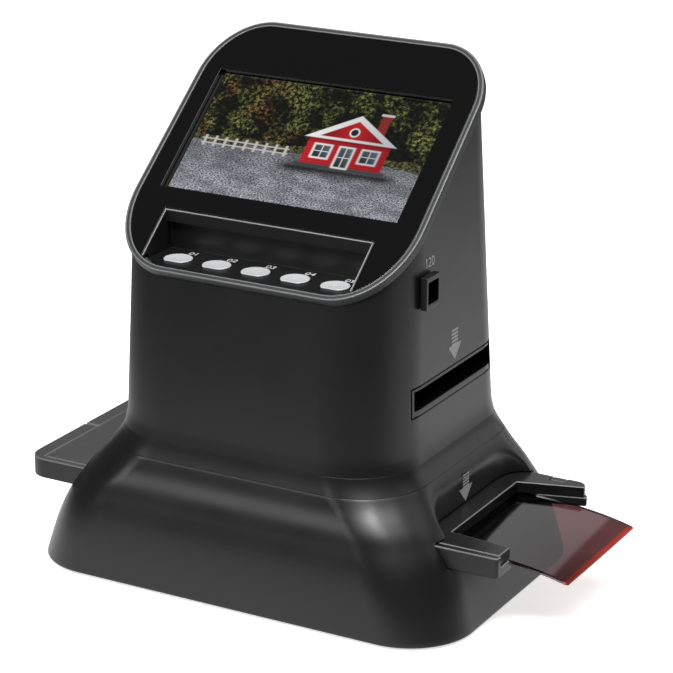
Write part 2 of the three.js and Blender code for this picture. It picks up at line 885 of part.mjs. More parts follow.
// Lower channel, lamp and shroud
function lower_channel() {
  const half = bay_wall_place - base_wall - fit_gap;
  const front = tray_front - slide_gap;
  const rear = tray_rear + slide_gap;
  const tube = block(-half, half, front - channel_side_wall, rear + channel_side_wall, channel_bottom, channel_top);
  const room = block(-half - overrun, half + overrun, front, rear, channel_low, channel_high);
  const gate = block(
    -tray_gate_width / 2, tray_gate_width / 2,
    gate_back - tray_gate_depth / 2, gate_back + tray_gate_depth / 2,
    channel_bottom - overrun, channel_top + overrun,
  );
  return cut(tube, room, gate);
}

function backlight_box() {
  const box = block(
    -lamp_half_width, lamp_half_width, gate_back - lamp_half_depth, gate_back + lamp_half_depth, cover_top, diffuser_low,
  );
  const room = block(
    lamp_wall - lamp_half_width, lamp_half_width - lamp_wall,
    gate_back - lamp_half_depth + lamp_wall, gate_back + lamp_half_depth - lamp_wall,
    cover_top + lamp_wall, diffuser_low + overrun,
  );
  return cut(box, room);
}

function led_board() {
  const half_width = lamp_half_width - lamp_wall - led_board_gap;
  const half_depth = lamp_half_depth - lamp_wall - led_board_gap;
  const low = cover_top + lamp_wall;
  const top = low + board_thickness;
  let board = block(-half_width, half_width, gate_back - half_depth, gate_back + half_depth, low, top);
  for (let column = 0; column < led_columns; column += 1) {
    for (let row = 0; row < led_rows; row += 1) {
      const x = (column - (led_columns - 1) / 2) * led_pitch;
      const y = gate_back + (row - (led_rows - 1) / 2) * led_pitch;
      const half = led_size / 2;
      board = join(board, block(x - half, x + half, y - half, y + half, low, top + led_height));
    }
  }
  return board;
}

function diffuser() {
  return block(
    -lamp_half_width, lamp_half_width, gate_back - lamp_half_depth, gate_back + lamp_half_depth, diffuser_low, channel_bottom,
  );
}

function rectangle_loop(half_width, half_depth, height) {
  return [
    [-half_width, gate_back - half_depth, height],
    [half_width, gate_back - half_depth, height],
    [half_width, gate_back + half_depth, height],
    [-half_width, gate_back + half_depth, height],
  ];
}

function light_shroud() {
  const outer = loft([
    rectangle_loop(shroud_low_half_width, shroud_low_half_depth, channel_top),
    rectangle_loop(shroud_high_half_width, shroud_high_half_depth, upper_channel_low),
  ]);
  const wall = shroud_wall;
  const rise = upper_channel_low - channel_top;
  const narrowing_x = (shroud_low_half_width - shroud_high_half_width) * overrun / rise;
  const narrowing_y = (shroud_low_half_depth - shroud_high_half_depth) * overrun / rise;
  const inner = loft([
    rectangle_loop(shroud_low_half_width + narrowing_x - wall, shroud_low_half_depth + narrowing_y - wall, channel_top - overrun),
    rectangle_loop(
      shroud_high_half_width - narrowing_x - wall, shroud_high_half_depth - narrowing_y - wall, upper_channel_low + overrun,
    ),
  ]);
  return cut(outer, inner);
}

// Film tray, its lid, pins and film
function fork_outline(left, right, front, rear, left_radius, near_radius, far_radius) {
  const along = (right - fork_start) / (tray_right - fork_start);
  const near_end = fork_near_start + (fork_near_end - fork_near_start) * along;
  const far_end = fork_far_start + (fork_far_end - fork_far_start) * along;
  const shape = new THREE.Shape();
  shape.moveTo(left + left_radius, front);
  shape.lineTo(right - near_radius, front);
  shape.absarc(right - near_radius, front + near_radius, near_radius, -Math.PI / 2, 0, false);
  shape.lineTo(right, near_end);
  shape.lineTo(fork_start, fork_near_start);
  shape.lineTo(fork_start, fork_far_start);
  shape.lineTo(right, far_end);
  if (rear - far_radius > far_end) {
    shape.lineTo(right, rear - far_radius);
  }
  const start_angle = Math.asin(Math.max(0, (far_end - rear + far_radius) / far_radius));
  shape.absarc(right - far_radius, rear - far_radius, far_radius, start_angle, Math.PI / 2, false);
  shape.lineTo(left + left_radius, rear);
  shape.absarc(left + left_radius, rear - left_radius, left_radius, Math.PI / 2, Math.PI, false);
  shape.absarc(left + left_radius, front + left_radius, left_radius, Math.PI, Math.PI * 3 / 2, false);
  return shape;
}

function tray_gate() {
  return block(
    -tray_gate_width / 2, tray_gate_width / 2,
    gate_back - tray_gate_depth / 2, gate_back + tray_gate_depth / 2,
    tray_low - overrun, tray_high + overrun,
  );
}

function knuckle_places() {
  return [tray_left + cover_inset_left + knuckle_from_end, tray_right - knuckle_from_end];
}

function knuckle(x, gap) {
  const half = knuckle_half_length + gap;
  const top = tray_high - hinge_pin_drop + knuckle_depth / 2 + gap;
  return block(x - half, x + half, tray_rear - knuckle_depth - gap, tray_rear + gap, film_high - gap, top);
}

function hinge_pin_hole(x) {
  const half = hinge_pin_hole_half_length;
  return pin_along_x(tray_rear - hinge_pin_inset, tray_high - hinge_pin_drop, hinge_pin_hole_radius, x - half, x + half);
}

function film_tray() {
  const outline = fork_outline(
    tray_left, tray_right, tray_front, tray_rear, tray_corner, tray_near_corner, tray_far_corner,
  );
  let tray = slab(outline, tray_low, tray_high);
  const film_front = film_back - film_half_width - film_side_gap;
  const film_rear = film_back + film_half_width + film_side_gap;
  const groove = block(tray_left + cover_inset_left, tray_right + overrun, film_front, film_rear, film_low, film_high);
  const arm_groove = block(
    fork_start, tray_right + overrun, film_front, film_rear, film_low - arm_groove_drop, film_high,
  );
  const lid_room = block(
    tray_left + cover_inset_left - cover_gap, tray_right + overrun,
    tray_front + cover_inset_side - cover_gap, tray_rear + overrun,
    film_high, tray_high + overrun,
  );
  const finger_groove = block(
    tray_left - overrun, tray_left + cover_inset_left,
    tray_back - finger_groove_width / 2, tray_back + finger_groove_width / 2,
    tray_high - finger_groove_depth, tray_high + overrun,
  );
  tray = cut(tray, groove, arm_groove, lid_room, tray_gate(), finger_groove);
  for (const x of knuckle_places()) {
    tray = join(tray, knuckle(x, 0));
  }
  return cut(tray, ...knuckle_places().map(hinge_pin_hole));
}

function tray_cover() {
  const radius = tray_near_corner / 2;
  const outline = fork_outline(
    tray_left + cover_inset_left, tray_right - cover_inset_right,
    tray_front + cover_inset_side, tray_rear, radius, radius, tray_far_corner,
  );
  const lid = cut(slab(outline, film_high, tray_high), tray_gate());
  const rooms = knuckle_places().map((x) => knuckle(x, knuckle_gap));
  return cut(lid, ...rooms, ...knuckle_places().map(hinge_pin_hole));
}

function hinge_pin(x) {
  const half = hinge_pin_half_length;
  return pin_along_x(tray_rear - hinge_pin_inset, tray_high - hinge_pin_drop, hinge_pin_radius, x - half, x + half);
}

function film_strip() {
  const front = film_back - film_half_width;
  const rear = film_back + film_half_width;
  const middle = (film_low + film_high) / 2;
  const half = film_thickness / 2;
  const loops = [[film_left, middle]];
  for (let i = 0; i <= film_steps; i += 1) {
    const along = i / film_steps;
    const x = fork_start + (film_right - fork_start) * along;
    loops.push([x, middle - film_droop * along ** film_droop_power_share]);
  }
  return loft(loops.map(([x, z]) => [
    [x, front, z - half],
    [x, rear, z - half],
    [x, rear, z + half],
    [x, front, z + half],
  ]));
}

// Bottom cover, feet and screws
function bottom_cover() {
  let plate = skin_body(cover_sink, cover_top, base_wall + bottom_cover_gap);
  for (const [x, y] of boss_places()) {
    plate = cut(
      plate,
      post(x, y, cover_screw_hole_radius, cover_sink - overrun, cover_top + overrun),
      post(x, y, cover_screw_head_radius + fit_gap, cover_sink - overrun, cover_sink + cover_screw_head),
    );
  }
  for (let i = 0; i < vent_count; i += 1) {
    const y = vent_back;
    const x = (i - (vent_count - 1) / 2) * vent_pitch;
    plate = cut(plate, block(
      x - vent_width / 2, x + vent_width / 2, y - vent_length / 2 + bottom_cover_thickness, y + vent_length / 2 - vent_pitch,
      cover_sink - overrun, cover_top + overrun,
    ));
  }
  return plate;
}

function foot() {
  const edge = foot_stand / 2;
  return turned([
    [0, -foot_stand],
    [foot_radius - edge, -foot_stand],
    [foot_radius, edge - foot_stand],
    [foot_radius, cover_sink],
    [0, cover_sink],
  ], 0, 0);
}

function cover_screw() {
  const head = post(0, 0, cover_screw_head_radius, cover_sink, cover_sink + cover_screw_head);
  return join(head, post(0, 0, cover_screw_shank_radius, cover_sink, cover_sink + cover_screw_length));
}

// Optical frame, rods, carriage, lens and sensor
function optical_frame() {
  const box = block(
    -optic_half_width, optic_half_width, gate_back - optic_half_depth, gate_back + optic_half_depth, upper_channel_high, optic_top,
  );
  const room = block(
    optic_wall - optic_half_width, optic_half_width - optic_wall,
    gate_back - optic_half_depth + optic_wall, gate_back + optic_half_depth - optic_wall,
    upper_channel_high - overrun, optic_top - optic_wall,
  );
  let frame = cut(box, room, post(0, gate_back, optic_hole_radius, optic_top - overrun, optic_top + overrun, round_sides));
  for (const x of [-rod_spread, rod_spread]) {
    frame = cut(frame, post(x, gate_back, rod_hole_radius, optic_top - optic_wall - fit_gap, optic_top + overrun));
  }
  return frame;
}

function guide_rod(x) {
  return post(x, gate_back, rod_radius, optic_top - optic_wall, rod_top);
}

function camera_carriage() {
  const top = carriage_low + carriage_thickness;
  const plate = block(
    -carriage_half_width, carriage_half_width,
    gate_back - carriage_half_depth, gate_back + carriage_half_depth, carriage_low, top,
  );
  const link = block(carriage_half_width / 2, carriage_half_width, stem_front, gate_back, carriage_low, top);
  const arm = block(carriage_half_width / 2, arm_end, stem_front, stem_back, carriage_low, top);
  const tab = block(arm_end - arm_tab, arm_end, stem_front, stem_back, carriage_low, stem_high);
  const lens_hole = post(0, gate_back, barrel_radius + barrel_gap, carriage_low - overrun, top + overrun, round_sides);
  let carriage = cut(join(plate, link, arm, tab), lens_hole);
  for (const x of [-rod_spread, rod_spread]) {
    carriage = cut(carriage, post(x, gate_back, rod_radius + carriage_rod_gap, carriage_low - overrun, top + overrun));
  }
  return carriage;
}

function lens_barrel() {
  const seat = carriage_low + carriage_thickness;
  return turned([
    [barrel_bore_radius, carriage_low - barrel_drop],
    [barrel_radius, carriage_low - barrel_drop],
    [barrel_radius, seat],
    [barrel_radius + barrel_flange, seat],
    [barrel_radius + barrel_flange, seat + barrel_flange_thickness],
    [barrel_radius, seat + barrel_flange_thickness],
    [barrel_radius, barrel_top],
    [barrel_bore_radius, barrel_top],
    [barrel_bore_radius, carriage_low - barrel_drop],
  ], 0, gate_back);
}

function front_lens() {
  const profile = [];
  for (const side of [-1, 1]) {
    for (let i = 0; i <= lens_steps; i += 1) {
      const share = (side < 0 ? i : lens_steps - i) / lens_steps;
      const swell = lens_edge / 2 + lens_bulge * (1 - share * share);
      profile.push([lens_radius * share, lens_place + side * swell]);
    }
  }
  return turned(profile, 0, gate_back);
}

function sensor_board() {
  const half = sensor_board_half;
  const board = block(-half, half, gate_back - half, gate_back + half, barrel_top, barrel_top + board_thickness);
  const chip = block(
    -sensor_half, sensor_half, gate_back - sensor_half, gate_back + sensor_half,
    barrel_top - sensor_height, barrel_top + board_thickness / 2,
  );
  return join(board, chip);
}

function format_knob() {
  const inner = tower_half_width - side_draught_share * (knob_low - datum_height) + knob_skin_gap;
  const outer = inner + knob_stand - knob_skin_gap;
  const cap = block(inner, outer, knob_front, knob_back, knob_low, knob_high);
  const hollow = block(
    outer - knob_hollow, outer + overrun,
    knob_front + knob_side_wall, knob_back - knob_rear_wall,
    knob_low + knob_end_wall, knob_high - knob_end_wall,
  );
  const stem = block(arm_end, outer - knob_hollow, stem_front, stem_back, stem_low, stem_high);
  return join(cut(cap, hollow), stem);
}

// Socket board
function io_board() {
  const rear = io_front + card_depth;
  return block(io_left, io_right, io_front, rear, io_height, io_height + board_thickness);
}

function socket(left, width, depth, height, wall) {
  const low = io_height + board_thickness;
  const rear = io_front + card_depth;
  const shell = block(left, left + width, rear - depth, rear, low, low + height);
  const room = block(left + wall, left + width - wall, rear - depth + wall, rear + overrun, low + wall, low + height - wall);
  return cut(shell, room);
}

// Assembly
const scanner = new THREE.Group();
const body = new THREE.Group();
scanner.add(body);
body.position.set(-(tray_left + film_right) / 2, (base_front - base_back) / 2, foot_stand);

piece("base_housing", base_housing(), satin_black, body);
piece("upper_housing", upper_housing(), satin_black, body);
piece("bottom_cover", bottom_cover(), satin_black, body);

const face = new THREE.Group();
face.rotation.x = face_turn;
face.position.set(0, face_middle_back, face_middle_height);
body.add(face);
piece("face_bezel", face_bezel(), rim_grey, face);
piece("front_plate", front_plate(), gloss_black, face);
piece("display_glass", display_glass(), picture_blue, face);
piece("display_frame", display_frame(), steel, face);
piece("face_carrier", face_carrier(), satin_black, face);
piece("main_board", main_board(), board_green, face);
board_screw_places().forEach(([x, y], i) => {
  piece(`board_screw_${i + 1}`, board_screw(), steel, face).position.set(x, y, board_bottom);
});

piece("button_well", button_well(), satin_black, body);
button_places().forEach((x, i) => {
  piece(`button_${i + 1}`, button(), key_grey, body).position.set(x, button_back, well_ledge_height);
});
piece("button_board", button_board(), board_green, body);

piece("upper_channel", upper_channel(), satin_black, body);
piece("light_shroud", light_shroud(), satin_black, body);
piece("lower_channel", lower_channel(), satin_black, body);
piece("backlight_box", backlight_box(), lamp_white, body);
piece("led_board", led_board(), lamp_white, body);
piece("diffuser", diffuser(), lamp_white, body);

piece("film_tray", film_tray(), satin_black, body);
piece("tray_cover", tray_cover(), satin_black, body);
knuckle_places().forEach((x, i) => {
  piece(`tray_hinge_pin_${i + 1}`, hinge_pin(x), steel, body);
});
piece("film_strip", film_strip(), film_red, body);

piece("optical_frame", optical_frame(), satin_black, body);
[-rod_spread, rod_spread].forEach((x, i) => {
  piece(`guide_rod_${i + 1}`, guide_rod(x), steel, body);
});
piece("camera_carriage", camera_carriage(), satin_black, body);
piece("lens_barrel", lens_barrel(), satin_black, body);
piece("front_lens", front_lens(), lens_clear, body);
piece("sensor_board", sensor_board(), board_green, body);
piece("format_knob", format_knob(), satin_black, body);

piece("io_board", io_board(), board_green, body);
piece("card_socket", socket(card_left, card_width, card_depth, card_height, card_wall), steel, body);
piece("usb_socket", socket(usb_left, usb_width, usb_depth, usb_height, usb_wall), steel, body);

let foot_number = 0;
for (const x of [-foot_across, foot_across]) {
  for (const y of [foot_front, foot_rear]) {
    foot_number += 1;
    piece(`foot_${foot_number}`, foot(), rubber_black, body).position.set(x, y, 0);
  }
}
boss_places().forEach(([x, y], i) => {
  piece(`cover_screw_${i + 1}`, cover_screw(), steel, body).position.set(x, y, 0);
});

export default scanner;
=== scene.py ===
"""Looks of the film negative scanner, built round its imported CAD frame.

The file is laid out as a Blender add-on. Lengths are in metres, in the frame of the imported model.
"""

import json
import math

import bmesh
import bpy
from mathutils import Matrix, Quaternion, Vector


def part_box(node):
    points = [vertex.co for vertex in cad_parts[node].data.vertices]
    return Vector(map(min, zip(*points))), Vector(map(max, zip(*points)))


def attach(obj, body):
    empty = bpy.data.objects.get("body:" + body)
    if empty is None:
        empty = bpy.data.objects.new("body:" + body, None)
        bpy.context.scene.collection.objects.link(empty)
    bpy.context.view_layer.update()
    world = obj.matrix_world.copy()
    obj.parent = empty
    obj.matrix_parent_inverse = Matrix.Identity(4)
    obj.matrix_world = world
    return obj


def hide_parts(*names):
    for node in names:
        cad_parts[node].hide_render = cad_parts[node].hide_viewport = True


bl_info = {
    "name": "Film scanner looks",
    "version": (1, 0, 0),
    "blender": (4, 5, 0),
    "location": "View3D > Sidebar > Film scanner",
    "description": "Builds the visible pieces, materials, lights and camera of a film negative scanner",
    "category": "Object",
}

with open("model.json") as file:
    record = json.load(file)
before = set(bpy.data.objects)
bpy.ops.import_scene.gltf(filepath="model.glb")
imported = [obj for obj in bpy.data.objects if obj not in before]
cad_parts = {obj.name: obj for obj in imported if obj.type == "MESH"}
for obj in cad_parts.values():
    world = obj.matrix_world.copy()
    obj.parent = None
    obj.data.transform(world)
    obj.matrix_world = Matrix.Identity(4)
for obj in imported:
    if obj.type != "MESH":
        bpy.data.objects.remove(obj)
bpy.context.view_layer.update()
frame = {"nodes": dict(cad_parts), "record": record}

MM = 0.001

# How far a cutter reaches past a wall, and how far it clears an edge
PAST = 30 * MM
CLEAR = 1 * MM
# Points closer than a hair are joined, and print lies a hair over its ground
HAIR = 0.02 * MM
# An edge nearer than this to a line lies on it
NEAR = 0.01 * MM
# Faces that turn less than the first lie in one plane; edges that turn more than the second are sharp
FLAT_DEGREES = 0.6
SMOOTH_DEGREES = 40
# Height of a figure as a share of the text's size, half its thickness, and the thickness of a sign or arrow
FIGURE_SHARE = 0.72
FIGURE_HALF = 0.04 * MM
INK = 0.06 * MM
# The flare's curve as (share of the base outline, share of the flare's height), and its steps
FLARE_CURVE = ((1, 0), (0.83, 0.25), (0.65, 0.43), (0.33, 0.63), (0.08, 0.8), (0.012, 0.9), (0, 1))
FLARE_STEPS = 120


# Settings


def length(name, default, about):
    """A length property in metres, given in millimetres."""
    return bpy.props.FloatProperty(
        name=name, description=about, default=default * MM, unit="LENGTH", precision=5
    )


def share(name, default, about, low=0.0, high=1.0):
    """A plain number property."""
    return bpy.props.FloatProperty(
        name=name, description=about, default=default, min=low, max=high, precision=4
    )


def colour(name, default, about):
    """A linear colour property."""
    return bpy.props.FloatVectorProperty(
        name=name, description=about, default=default, size=3, subtype="COLOR", min=0.0, max=1.0
    )


def angle(name, degrees, about):
    """An angle property, given in degrees."""
    return bpy.props.FloatProperty(
        name=name, description=about, default=math.radians(degrees), subtype="ANGLE"
    )


def count(name, default, about):
    """A property that counts steps."""
    return bpy.props.IntProperty(name=name, description=about, default=default, min=4)


class ScannerSkinSettings(bpy.types.PropertyGroup):
    """Sizes of the tower's and the base's outer skin."""

    datum_height: length("Datum height", 100, "Height at which the tower's sizes hold")
    tower_half_width: length("Tower half width", 58.8, "Half the tower's width at the datum")
    tower_front: length("Tower front", 62.6, "Tower's front face in front of the middle line")
    tower_back: length("Tower back", 34.8, "Tower's rear face behind the middle line")
    tower_front_radius: length("Front corner", 27.5, "Radius of the tower's front corners")
    tower_rear_radius: length("Rear corner", 21.5, "Radius of the tower's rear corners")
    side_draught: share("Side draught", 0.02, "Narrowing of each side per length of height")
    front_draught: share("Front draught", 0.05, "Lean of the front per length of height")
    back_draught: share("Back draught", 0.09, "Lean of the back per length of height")
    base_half_width: length("Base half width", 89.1, "Half the base's width at the ground")
    base_front: length("Base front", 76.8, "Base's front edge in front of the middle line")
    base_back: length("Base back", 48, "Base's rear edge behind the middle line")
    base_radius: length("Base corner", 25.9, "Radius of the base's corners")
    flare_height: length("Flare height", 64, "Height at which the flare has run out")
    parting_height: length("Parting height", 48, "Height of the joint between the housings")
    fillet_height: length("Fillet line", 54.6, "Height of the fine line above the joint")
    wall: length("Wall", 2.1, "Wall thickness of the housings")
    corner_steps: count("Corner steps", 18, "Faces round each corner")


class ScannerFaceSettings(bpy.types.PropertyGroup):
    """Sizes of the sloping face."""

    middle_height: length("Middle height", 160.4, "Height of the display's middle")
    middle_back: length("Middle back", -13.3, "Place of the display's middle along the depth")
    lean: angle("Lean", 39.19, "Lean of the face from the level")
    half_width: length("Half width", 59.292, "Half the face's width through the display's middle")
    top: length("Top", 52.083, "Reach of the face above the display's middle")
    bottom: length("Bottom", 64.6, "Reach of the face below the display's middle")
    top_across: length("Top corner across", 23.0, "Top corners' radius across")
    top_along: length("Top corner along", 27.19, "Top corners' radius along the slope")
    bottom_across: length("Bottom corner across", 26.68, "Bottom corners' radius across")
    bottom_along: length("Bottom corner along", 34.77, "Bottom corners' radius along the slope")
    rim_width: length("Rim width", 2.3, "Width of the rim")
    rim_thickness: length("Rim thickness", 3.2, "Thickness of the rim")
    rim_ledge: length("Rim ledge", 1.2, "Width of the ledge that carries the plate")
    plate_sink: length("Plate sink", 0.3, "Depth of the plate's face below the rim")
    plate_thickness: length("Plate thickness", 1.7, "Thickness of the plate")
    plate_gap: length("Plate gap", 0.15, "Gap round the plate")
    window_width: length("Window width", 98, "Width of the display window")
    window_height: length("Window height", 55.6, "Height of the display window")
    window_right: length("Window right", -1, "Window's middle, to the right")
    window_up: length("Window up", -0.6, "Window's middle, up the slope")
    picture_width: length("Picture width", 95.04, "Width of the lit picture")
    picture_height: length("Picture height", 53.86, "Height of the lit picture")
    picture_right: length("Picture right", -0.65, "Picture's middle, to the right")


class ScannerLookSettings(bpy.types.PropertyGroup):
    """Colours and roughness."""

    shell: colour("Shell", (0.006, 0.006, 0.0062), "Satin black of the housings")
    shell_rough: share("Shell roughness", 0.31, "Roughness of the housings")
    dark: colour("Dark plastic", (0.006, 0.006, 0.0062), "Plastic of the bottom cover and the inner parts")
    well: colour("Well", (0.0045, 0.0045, 0.0047), "Black of the button well")
    rim: colour("Rim", (0.03, 0.031, 0.032), "Dark grey of the face's rim")
    # The fine lines on the face are painted highlights along the edges of the rim and of the button notch
    line: colour("Line", (0.5, 0.505, 0.51), "Pale grey of the fine lines on the face")
    gloss: colour("Gloss", (0.003, 0.003, 0.0033), "Polished black of the face's plate")
    tray: colour("Tray", (0.007, 0.007, 0.0072), "Grained black of the tray")
    # Painted highlight: how many times paler than its faces the tray's upward-facing rounded edges are
    wear: share("Edge wear", 18, "How much paler the tray's worn edges are than its faces", 1, 40)
    key: colour("Keys", (0.4, 0.406, 0.413), "Silver grey of the buttons")
    sign: colour("Signs", (0.42, 0.425, 0.43), "Grey of the signs on the buttons")
    label: colour("Labels", (0.5, 0.5, 0.5), "Grey of the numbers behind the buttons")
    mark: colour("Marks", (0.36, 0.36, 0.36), "Grey of the printed arrows")
    number: colour("Number", (0.36, 0.36, 0.36), "Grey of the format number")
    film: colour("Film", (0.245, 0.145, 0.15), "Tint of the film, once through")
    film_edge: colour("Film end", (0.46, 0.15, 0.12), "Tint of the film's thin end, once through")
    film_gloss: share("Film gloss", 0.9, "Share of the light that the film's face throws back")
    board: colour("Circuit board", (0.014, 0.1, 0.045), "Green of the circuit boards")
    lamp: colour("Lamp", (0.8, 0.8, 0.77), "White of the lamp under the film")
    rubber: colour("Rubber", (0.012, 0.012, 0.012), "Black of the feet")
    steel_dark: colour("Steel, dark", (0.4, 0.41, 0.43), "Darker streaks of the steel")
    steel_pale: colour("Steel, pale", (0.55, 0.56, 0.58), "Paler streaks of the steel")
    lens_dark: colour("Lens, dark", (0.75, 0.8, 0.86), "Darker clouds of the lens")
    lens_pale: colour("Lens, pale", (0.8, 0.84, 0.9), "Paler clouds of the lens")


class ScannerStageSettings(bpy.types.PropertyGroup):
    """Camera and light."""

    camera_place: bpy.props.FloatVectorProperty(
        name="Camera place", description="Camera's place in the CAD's frame", size=3, unit="LENGTH",
        default=(0.45022, -0.81293, 0.40748),
    )
    azimuth: angle("Azimuth", 28.83, "Camera's azimuth")
    elevation: angle("Elevation", 18.94, "Camera's elevation")
    roll: angle("Roll", 0.32, "Camera's roll")
    focal_length: share("Lens", 141.8, "Focal length in millimetres on a 36 mm wide sensor", 10, 500)
    floor_white: share("Floor white", 0.86, "Whiteness of the floor where the camera sees it")
    floor_seen: share("Floor seen", 0.7, "White that the floor adds where the camera sees it", 0, 5)
    floor_dim: share("Floor dimmed", 0.11, "Whiteness of the floor in the light it throws back on the object")
    floor_mirrored: share("Floor mirrored", 1.03, "White that the lit table adds to what mirrors it", 0, 5)
    table_full: share("Table full", 0.2, "Distance in metres up to which the table is fully lit", 0, 5)
    table_end: share("Table end", 1.05, "Distance in metres at which the table is dark", 0, 5)
    table_front: share("Table front", -0.15, "Depth in metres where the table starts to darken", -5, 5)
    table_shade: share("Table shade", -0.33, "Depth in metres at which the table is in the shade", -5, 5)
    front_keeps: share("Front keeps", 0.06, "Share of its light that the table keeps in the shade in front")
    table_left: share("Table left", -0.12, "Place in metres from which the table darkens to the left", -5, 5)
    left_shade: share("Left shade", -0.36, "Place in metres at which the left of the table is darkest", -5, 5)
    left_keeps: share("Left keeps", 0.15, "Share of its light that the table keeps on the left")
    table_rear: share("Table rear", -0.02, "Depth in metres from which the table darkens to the rear", -5, 5)
    rear_shade: share("Rear shade", 0.12, "Depth in metres at which the rear of the table is darkest", -5, 5)
    rear_keeps: share("Rear keeps", 0.82, "Share of its light that the table keeps at the rear")
    spot_right: share("Spot right", 0.36, "Place of the dark spot to the right, in metres", -5, 5)
    spot_depth: share("Spot depth", -0.36, "Place of the dark spot along the depth, in metres", -5, 5)
    spot_dark: share("Spot dark", 0.18, "Radius in metres in which the spot is darkest", 0, 5)
    spot_end: share("Spot end", 0.46, "Radius in metres at which the spot has run out", 0, 5)
    spot_keeps: share("Spot keeps", 0.06, "Share of its light that the table keeps in the spot")
    world_light: share("World light", 0.07, "Strength of the even light", 0, 5)
    lamp_aim: share("Lamp aim", 0.09, "Height in metres of the place that the lamps face")
    front_light: share("Front light", 54.0, "Brightness of the wide, low softbox high in front", 0, 500)
    left_light: share("Left light", 10.0, "Brightness of the wide strip in front on the left", 0, 500)
    side_light: share("Side light", 1.1, "Brightness of the softbox high on the right", 0, 500)
    rear_light: share("Rear light", 0.8, "Brightness of the softbox behind on the right", 0, 500)
    back_light: share("Back light", 0.85, "Brightness of the softbox behind on the left", 0, 500)
    top_light: share("Top light", 6.0, "Brightness of the overhead softbox", 0, 500)


def skin():
    return bpy.context.scene.scanner_skin


def face():
    return bpy.context.scene.scanner_face


def look():
    return bpy.context.scene.scanner_look


def stage():
    return bpy.context.scene.scanner_stage


# Places


base_low, base_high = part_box("base_housing")


def origin():
    """The CAD source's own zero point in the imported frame."""
    return Vector(((base_low.x + base_high.x) / 2, base_low.y + skin().base_front, base_low.z))


def face_matrix():
    """From the face's own frame, X across, Y up the slope, Z out of the face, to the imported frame."""
    s = face()
    place = Matrix.Translation(origin() + Vector((0, s.middle_back, s.middle_height)))
    return place @ Matrix.Rotation(s.lean, 4, "X")


def flare_levels():
    """Points of the flare's smoothed curve as (share of the base outline, height)."""
    points = [Vector((out, up * skin().flare_height)) for out, up in FLARE_CURVE]
    levels = []
    for i in range(FLARE_STEPS + 1):
        place = i / FLARE_STEPS * (len(points) - 1)
        k = min(int(place), len(points) - 2)
        t = place - k
        p = [points[max(0, min(len(points) - 1, k + j))] for j in (-1, 0, 1, 2)]
        v0, v1 = (p[2] - p[0]) / 2, (p[3] - p[1]) / 2
        cubic = 2 * p[1] - 2 * p[2] + v0 + v1
        square = -3 * p[1] + 3 * p[2] - 2 * v0 - v1
        levels.append(cubic * t**3 + square * t**2 + v0 * t + p[1])
    return levels


def flare_share(height):
    """Share of the base outline in the skin at this height."""
    if height <= 0:
        return 1.0
    if height >= skin().flare_height:
        return 0.0
    levels = flare_levels()
    for low, high in zip(levels, levels[1:]):
        if high.y >= height:
            return low.x + (high.x - low.x) * (height - low.y) / max(high.y - low.y, 1e-9)
    return 0.0


def skin_sizes(height, inset=0.0):
    """Half width, front, back and corner radii of the skin at this height."""
    s = skin()
    out = flare_share(height)
    keep = 1 - out
    rise = height - s.datum_height
    return (
        (s.tower_half_width - s.side_draught * rise) * keep + s.base_half_width * out - inset,
        (s.tower_front - s.front_draught * rise) * keep + s.base_front * out - inset,
        (s.tower_back - s.back_draught * rise) * keep + s.base_back * out - inset,
        s.tower_front_radius * keep + s.base_radius * out - inset,
        s.tower_rear_radius * keep + s.base_radius * out - inset,
    )


def skin_loop(height, inset=0.0):
    """Points round the skin at this height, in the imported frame."""
    half, front, back, front_radius, rear_radius = skin_sizes(height, inset)
    corners = [
        (half - front_radius, front_radius - front, front_radius, 3),
        (half - rear_radius, back - rear_radius, rear_radius, 0),
        (rear_radius - half, back - rear_radius, rear_radius, 1),
        (front_radius - half, front_radius - front, front_radius, 2),
    ]
    steps = skin().corner_steps
    points = []
    for x, y, radius, quarter in corners:
        for i in range(steps + 1):
            angle = (quarter + i / steps) * math.pi / 2
            corner = Vector((x + radius * math.cos(angle), y + radius * math.sin(angle), height))
            points.append(origin() + corner)
    return points


def face_outline(inset):
    """Points round the face, drawn in by the inset, in the face's frame."""
    s = face()
    steps = skin().corner_steps
    half = s.half_width - inset
    taper = skin().side_draught * math.sin(s.lean)
    corners = [
        (s.bottom_across - inset, s.bottom_along - inset, 1, inset - s.bottom, 3),
        (s.top_across - inset, s.top_along - inset, 1, s.top - inset, 0),
        (s.top_across - inset, s.top_along - inset, -1, s.top - inset, 1),
        (s.bottom_across - inset, s.bottom_along - inset, -1, inset - s.bottom, 2),
    ]
    points = []
    for across, along, side, end, quarter in corners:
        middle = end - along if end > 0 else end + along
        for i in range(steps + 1):
            angle = (quarter + i / steps) * math.pi / 2
            up = middle + along * math.sin(angle)
            sideways = side * (half - across) + across * math.cos(angle)
            points.append((sideways * (1 - taper * up / s.half_width), up))
    return points


# Mesh helpers


def link(name, mesh):
    piece = bpy.data.objects.new(name, mesh)
    bpy.context.scene.collection.objects.link(piece)
    return piece


def to_piece(name, bm):
    """A new object from the bmesh, with its normals outward."""
    bmesh.ops.recalc_face_normals(bm, faces=bm.faces)
    mesh = bpy.data.meshes.new(name)
    bm.to_mesh(mesh)
    bm.free()
    return link(name, mesh)


def lofted(name, loops, ring=False):
    """A body through loops of equal point count; a ring joins its last loop to the first."""
    bm = bmesh.new()
    rows = [[bm.verts.new(point) for point in loop] for loop in loops]
    count = len(rows[0])
    pairs = list(zip(rows, rows[1:]))
    if ring:
        pairs.append((rows[-1], rows[0]))
    for low, high in pairs:
        for i in range(count):
            j = (i + 1) % count
            bm.faces.new((low[i], low[j], high[j], high[i]))
    if not ring:
        bm.faces.new(rows[0])
        bm.faces.new(rows[-1])
    return to_piece(name, bm)


def slab(name, points, low, high, matrix=Matrix.Identity(4)):
    """A flat outline of (x, y) points raised from low to high."""
    return lofted(name, [[matrix @ Vector((x, y, z)) for x, y in points] for z in (low, high)])


